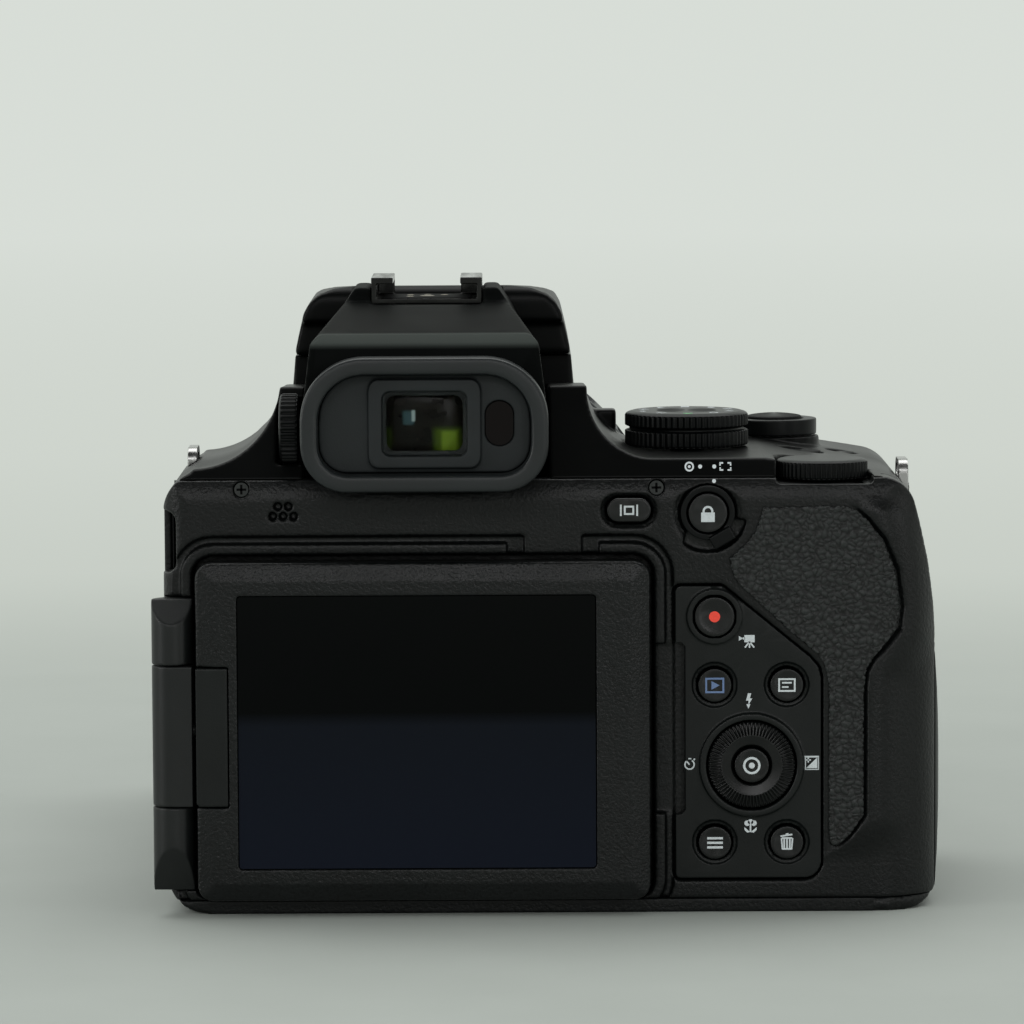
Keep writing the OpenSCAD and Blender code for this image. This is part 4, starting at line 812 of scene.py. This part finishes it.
def bar(x0, y0, x1, y1, w):
    d = math.hypot(x1 - x0, y1 - y0)
    u, v = (y1 - y0) / d * w / 2, -(x1 - x0) / d * w / 2
    return [(x0 + u, y0 + v), (x0 - u, y0 - v), (x1 - u, y1 - v), (x1 + u, y1 + v)]


def arc(x, y, r, w, a0, a1, n):
    """A ring segment as a row of quads."""
    def at(radius, angle):
        return x + radius * math.cos(angle), y + radius * math.sin(angle)

    inner, outer = r - w / 2, r + w / 2
    out = []
    for k in range(n):
        p, q = (math.radians(a0 + (a1 - a0) * j / n) for j in (k, k + 1))
        out.append([at(inner, p), at(outer, p), at(outer, q), at(inner, q)])
    return out


def frame_line(w, h, t):
    """The outline of a rectangle, as four bars."""
    flat = [rect(0, h / 2 - t / 2, w, t), rect(0, -h / 2 + t / 2, w, t)]
    return flat + [rect(-w / 2 + t / 2, 0, t, h - 2 * t), rect(w / 2 - t / 2, 0, t, h - 2 * t)]


def rear_at(x, z, out):
    """On the upright rear face, or out from it."""
    return lambda u, v, h: (x + u, REAR - out - h, z + v)


def lean_at(x, z):
    """On the leaning part of the rear face."""
    return lambda u, v, h: (x + u, float(rear_line(z + v)) - h * 0.86, z + v + h * 0.51)


def dial_at(angle, r):
    """On top of the mode dial, in a ring."""
    ca, sa = math.cos(angle), math.sin(angle)
    return lambda u, v, h: (MODE_X + (r + v) * ca - u * sa, MODE_Y + (r + v) * sa + u * ca, MODE_TOP + h)


def on_cap(name, node, shapes, mat="white", deep=0.12):
    """A mark on a round rear button, whose middle lies lower by its hollow."""
    x, z, r, top, dish = REAR_BUTTONS[node]

    def place(u, v, h):
        low = dish * max(0.0, 1 - (u * u + v * v) / (HOLLOW * r) ** 2)
        return x + u, REAR - top + low - h, z + v
    print_on(name, shapes, place, mat, node, deep)


def on_rear(name, x, z, shapes):
    """A white mark on the rear face."""
    print_on(name, shapes, rear_at(x, z, 0), "white", "body")


on_cap("mark_record", "record_button", [disc(0, 0, 1.02)], "red")
arrow = [(-0.6, -0.8), (0.9, 0), (-0.6, 0.8)]
on_cap("mark_play", "playback_button", frame_line(3.5, 2.85, 0.34) + [arrow], "blue")
rows = [rect(0, 0.42, 1.8, 0.3), rect(-0.3, -0.38, 1.2, 0.3)]
on_cap("mark_info", "info_button", frame_line(3.2, 2.5, 0.32) + rows)
on_cap("mark_menu", "menu_button", [rect(0, y, 2.9, 0.42) for y in (0.85, 0, -0.85)])
dustbin = [rect(x, -0.25, 0.3, 1.9) for x in (-0.52, 0, 0.52)]
dustbin += [rect(0, -1.2, 1.7, 0.3), rect(0, 0.82, 1.9, 0.28)]
dustbin += [bar(-1.2, 1.15, 1.0, 1.5, 0.3), bar(-0.25, 1.45, 0.3, 1.54, 0.42)]
dustbin += [bar(-1.02, 0.8, -0.84, -1.3, 0.28), bar(1.02, 0.8, 0.84, -1.3, 0.28)]
on_cap("mark_bin", "delete_button", dustbin)
on_cap("mark_ok", "ok_button", arc(0, 0, 1.4, 0.42, 0, 360, 40) + [disc(0, 0, 0.55)], deep=0.15)
sides = [rect(-1.5, 0, 0.32, 2.1), rect(1.5, 0, 0.32, 2.1)]
print_on("mark_display", frame_line(1.9, 1.7, 0.34) + sides, rear_at(DISPLAY_X, DISPLAY_Z, 0.85),
         "white", "display_button")
padlock = [rect(0, -0.75, 2.5, 1.75)] + arc(0, 0.35, 0.8, 0.4, 0, 180, 18)
padlock += [rect(-0.8, 0.22, 0.4, 0.35), rect(0.8, 0.22, 0.4, 0.35)]
on_cap("mark_lock", "lock_button", padlock, deep=0.15)

movie = [rect(0.35, 0.45, 1.9, 1.35), [(-1.6, 0.95), (-0.85, 0.5), (-1.6, 0.05)], rect(-0.7, 0.5, 0.4, 0.4)]
movie += [bar(0.35, -0.1, x, y, 0.28) for x, y in ((-0.5, -1.2), (0.35, -1.25), (1.2, -1.2))]
on_rear("mark_movie", 58.3, 50.4, movie)
bolt = [[(-0.15, 1.4), (0.45, 1.4), (0.2, 0.45), (0.65, 0.45), (-0.05, -0.75), (-0.05, 0.05), (-0.5, 0.05)],
        [(-0.45, -0.6), (0.3, -0.6), (-0.05, -1.45)]]
on_rear("mark_bolt", 58.5, 39.3, bolt)
timer = arc(0, 0, 0.85, 0.26, -230, 60, 26)
timer += [bar(0, 0, -0.55, 0.6, 0.26), rect(0.05, 1.1, 0.55, 0.24), bar(0.75, 0.85, 1.0, 1.1, 0.28)]
on_rear("mark_timer", 47.55, 27.5, timer)
exposure = frame_line(2.7, 2.6, 0.3) + [[(-1.2, -1.15), (1.2, 1.15), (1.2, -1.15)]]
exposure += [rect(-0.62, 0.55, 0.95, 0.26), rect(-0.62, 0.55, 0.26, 0.95)]
on_rear("mark_exposure", 70.1, 27.7, exposure)
flower = [disc(-0.62, 0.62, 0.52), disc(0, 0.85, 0.5), disc(0.62, 0.62, 0.52), rect(0, -0.35, 0.3, 1.4)]
flower += [[(-0.05, -1.05), (-1.15, -0.1), (-1.1, -0.65), (-0.6, -1.15)],
           [(0.05, -1.05), (1.15, -0.1), (1.1, -0.65), (0.6, -1.15)]]
on_rear("mark_flower", 58.8, 15.9, flower)

# Dark crosses painted on the two screws above the screen as the shade in their recesses, then the signs by
# the mode dial and the focus lever
SCREW_Z, SCREW_SUNK = 78.8, 1.1
cross = [rect(0, 0, 1.7, 0.42), rect(0, 0, 0.42, 1.7)]
for k, x in enumerate((-34.8, 41.6)):
    # Painted shade: a black cross where the screw's recess lies in shade
    print_on("shaded_screw_cross_%d" % k, cross, rear_at(x, SCREW_Z, -SCREW_SUNK), "baffle", "body", 0.05)
print_on("mark_index", [disc(0, 0, 0.36)], lean_at(52.2, 79.95), "white", "body")
focus = [disc(-1.3, 0, 0.36), disc(1.3, 0, 0.36)]
focus += arc(-3.3, 0, 0.72, 0.3, 0, 360, 24) + [disc(-3.3, 0, 0.26)]
for k in (1, -1):
    focus += [rect(2.6, k * 0.62, 0.7, 0.26), rect(2.38, k * 0.4, 0.26, 0.5)]
    focus += [rect(4.1, k * 0.62, 0.7, 0.26), rect(4.32, k * 0.4, 0.26, 0.5)]
print_on("mark_focus", focus, lean_at(51.0, 82.5), "white", "body")

# Signs in a ring on top of the mode dial, and the round plate in their middle
signs = [
    [rect(0, -0.1, 1.8, 1.2), rect(0, 0.65, 0.7, 0.35)],
    arc(0, 0, 0.7, 0.3, 0, 360, 20),
    [bar(-0.8, -0.7, 0, 0.8, 0.3), bar(0, 0.8, 0.8, -0.7, 0.3)],
    [rect(0, 0.5, 1.6, 0.3), rect(0, -0.1, 1.6, 0.3), rect(0, -0.7, 1.6, 0.3)],
    [disc(0, 0, 0.75)],
    [rect(0, 0, 1.5, 1.5)],
    [[(-0.8, -0.7), (0.8, -0.7), (0, 0.8)]],
    [rect(0, 0, 1.9, 0.4), rect(0, 0, 0.4, 1.9)],
    arc(0, 0, 0.75, 0.3, 20, 200, 14) + [disc(0, 0, 0.3)],
    [rect(-0.5, 0, 0.35, 1.5), rect(0.5, 0, 0.35, 1.5)],
]
for k, sign in enumerate(signs):
    tone = "green" if k == 0 else "white"
    print_on("mark_mode_%d" % k, sign, dial_at(math.radians(36 * k - 90), 8.4), tone, "mode_dial", 0.1)
line = fillet([(0.02, 0.12), (5.6, 0.12), (5.9, 0.0), (5.9, -0.3), (0.02, -0.3)], [0, 0.1, 0.1, 0, 0])
extra(turn("mode_cap", "top", (MODE_X, MODE_Y, 90.75), line), "cap_z", "mode_dial")

# Finder optics behind the window: a round lens, cut to the frame's opening
LENS_HALF_X, LENS_HALF_Z = 7.9, 7.4
line = [(0.02, 2.4), (3, 2.25), (6, 1.7), (8.5, 0.8), (9.4, 0.2), (9.4, -1.5), (0.02, -1.5)]
o = turn("eyepiece_lens", "rear", (FINDER_X, -33.0, FINDER_Z), line)
for v in o.data.vertices:
    v.co.x = min(max(v.co.x, (FINDER_X - LENS_HALF_X) * MM), (FINDER_X + LENS_HALF_X) * MM)
    v.co.z = min(max(v.co.z, (FINDER_Z - LENS_HALF_Z) * MM), (FINDER_Z + LENS_HALF_Z) * MM)
# Its material paints the glass's reflections as colour patches
extra(o, "coating", "body")

# Shoe insert with its contacts
x0, x1, y0, y1 = -9.2, 7.6, -2.4, 13.0
mid_x, mid_y = (x0 + x1) / 2, (y0 + y1) / 2
ring = fillet([(x0, y0 + 1), (x0, y1), (x1, y1), (x1, y0), (x0, y0), (x0, y0 + 1)], 0.8, 4)[:-1]
loops = [np.array([(x + d * np.sign(mid_x - x), y + d * np.sign(mid_y - y), z) for x, y in ring]) * MM
         for d, z in ((0.2, 112.55), (0.0, 112.6), (0.0, 112.66), (0.12, 112.74))]
extra(stack("shoe_insert", loops), "baffle", "body")
for k, (x, y) in enumerate(((-0.8, 5.6), (-4.0, 9.0), (-0.8, 10.2), (2.4, 9.0), (-4.0, 3.4))):
    r = 1.5 if k == 0 else 0.8
    line = fillet([(0.01, 0.1), (r * 0.8, 0.09), (r, 0.0), (r, -0.1), (0.01, -0.1)], 0.08, 3)
    extra(turn("shoe_contact_%d" % k, "top", (x, y, 112.7), line, 40), "contact", "body")


# Stage, light and camera
def seen(t):
    """1 for camera, glossy and transmission rays."""
    rays = t.nodes.new("ShaderNodeLightPath")
    a = t.nodes.new("ShaderNodeMath")
    b = t.nodes.new("ShaderNodeMath")
    a.operation = b.operation = "MAXIMUM"
    t.links.new(rays.outputs["Is Camera Ray"], a.inputs[0])
    t.links.new(rays.outputs["Is Glossy Ray"], a.inputs[1])
    t.links.new(a.outputs[0], b.inputs[0])
    t.links.new(rays.outputs["Is Transmission Ray"], b.inputs[1])
    return b.outputs[0]


def floor_mat():
    """Pale paper: lit and shadowed near the object; farther off it glows, the glow painted darker towards the
    object as shade and running up to the pale background.
    """
    n = Net("stage_floor")
    paper = n.ramp(n.noise(40, 3), [(0.3, (0.335, 0.362, 0.333)), (0.7, (0.352, 0.38, 0.35))])
    n.set(Base_Color=paper, Roughness=0.75, Specular_IOR_Level=0.1)
    length = n.add("ShaderNodeVectorMath", operation="LENGTH")
    n.link(n.coord.outputs["Object"], length.inputs[0])
    glow = n.add("ShaderNodeEmission")
    # Painted shade: the glow is darker nearer the object, where the light falls off
    away = n.span(length.outputs["Value"], 0.0, 1.0, 0.0, 3.0)
    pale = n.ramp(away, [(0.0, (0.44, 0.475, 0.435)), (0.1, (0.48, 0.52, 0.475)),
                         (0.2, (0.575, 0.615, 0.565)), (0.34, (0.62, 0.66, 0.61)),
                         (1.0, (0.685, 0.725, 0.68))])
    n.link(pale, glow.inputs["Color"])
    far = n.add("ShaderNodeMapRange", interpolation_type="SMOOTHSTEP")
    far.inputs["From Min"].default_value = 0.15
    far.inputs["From Max"].default_value = 0.6
    n.link(length.outputs["Value"], far.inputs["Value"])
    f = n.add("ShaderNodeMath", operation="MULTIPLY")
    n.link(far.outputs["Result"], f.inputs[0])
    n.link(seen(n.tree), f.inputs[1])
    mix = n.add("ShaderNodeMixShader")
    n.link(f.outputs[0], mix.inputs["Fac"])
    n.link(n.shader.outputs["BSDF"], mix.inputs[1])
    n.link(glow.outputs["Emission"], mix.inputs[2])
    n.link(mix.outputs["Shader"], n.tree.nodes["Material Output"].inputs["Surface"])
    return n.mat


# The floor, a disc with its radius in metres
FLOOR_R, FLOOR_SIDES = 7, 64
angles = [2 * math.pi * k / FLOOR_SIDES for k in range(FLOOR_SIDES)]
ring = [(FLOOR_R * math.cos(a), FLOOR_R * math.sin(a), 0) for a in angles]
mesh = bpy.data.meshes.new("floor")
mesh.from_pydata(ring, [], [tuple(range(FLOOR_SIDES))])
floor = put("floor", mesh)
mesh.materials.append(floor_mat())

# The room as eye and mirrors see it: pale beyond the object, darker on the photographer's side and darkest
# overhead there. What the room sheds on the object is an even grey.
world = bpy.data.worlds.new("studio")
scene.world = world
world.use_nodes = True
t = world.node_tree
way = t.nodes.new("ShaderNodeTexCoord")
sep = t.nodes.new("ShaderNodeSeparateXYZ")
t.links.new(way.outputs["Generated"], sep.inputs["Vector"])


def room_span(part, a, b, low, high):
    """One part of the direction, from a to b, turned into a value from low to high."""
    r = t.nodes.new("ShaderNodeMapRange")
    for k, v in (("From Min", a), ("From Max", b), ("To Min", low), ("To Max", high)):
        r.inputs[k].default_value = v
    t.links.new(sep.outputs[part], r.inputs["Value"])
    return r.outputs["Result"]


dim = t.nodes.new("ShaderNodeValToRGB")
dim.color_ramp.elements[0].position, dim.color_ramp.elements[0].color = 0.25, (0.33, 0.35, 0.33, 1)
dim.color_ramp.elements[1].position, dim.color_ramp.elements[1].color = 0.62, (0.685, 0.725, 0.68, 1)
t.links.new(room_span("Y", -1.0, 1.0, 0.0, 1.0), dim.inputs["Fac"])
lit = t.nodes.new("ShaderNodeMath")
lit.operation = "MAXIMUM"
t.links.new(room_span("Z", 0.25, 0.7, 1.0, 0.12), lit.inputs[0])
t.links.new(room_span("Y", -0.25, 0.2, 0.0, 1.0), lit.inputs[1])
ceiling = t.nodes.new("ShaderNodeVectorMath")
ceiling.operation = "SCALE"
t.links.new(dim.outputs["Color"], ceiling.inputs["Vector"])
t.links.new(lit.outputs[0], ceiling.inputs["Scale"])
m = t.nodes.new("ShaderNodeMix")
m.data_type = "RGBA"
t.links.new(seen(t), m.inputs[0])
m.inputs[6].default_value = (0.56, 0.57, 0.57, 1)
t.links.new(ceiling.outputs["Vector"], m.inputs[7])
t.links.new(m.outputs[2], t.nodes["Background"].inputs["Color"])


def lamp(name, place, aim, size, power):
    d = bpy.data.lights.new(name, "AREA")
    d.shape = "RECTANGLE"
    d.size, d.size_y = size
    d.energy = power
    o = put(name, d)
    o.location = place
    o.rotation_euler = (Vector(aim) - Vector(place)).to_track_quat("-Z", "Y").to_euler()


# Place and aim in metres, width and height in metres, power in watts
lamp("key", (0.0, 0.35, 1.3), (0.0, 0.0, 0.05), (2.4, 0.9), 17)
lamp("front", (-0.3, -2.3, 1.05), (0.0, 0.0, 0.06), (1.8, 0.4), 10)
lamp("left", (-1.4, -0.6, 0.45), (0.0, 0, 0.05), (0.5, 0.9), 6)
lamp("right", (1.35, -0.75, 0.4), (0.02, 0, 0.05), (0.4, 0.9), 1.8)
lamp("right_front", (0.85, -2.1, 0.4), (0.02, 0, 0.05), (0.3, 0.7), 3.2)

# The photo's camera: its focal length is known in pixels of a picture 1024 pixels wide
FOCAL, PICTURE, SENSOR = 5450, 1024, 36
cam = bpy.data.cameras.new("photo_camera")
cam.sensor_width = SENSOR
cam.lens = FOCAL / PICTURE * SENSOR
cam.clip_start = 0.05
eye = put("photo_camera", cam)
spot = Matrix.Translation((0.015, -1.024, 0.1671))
tilt = Matrix.Rotation(math.radians(90 - 5.3), 4, "X")
roll = Matrix.Rotation(math.radians(-0.3), 4, "Z")
eye.matrix_world = spot @ tilt @ roll
scene.camera = eye
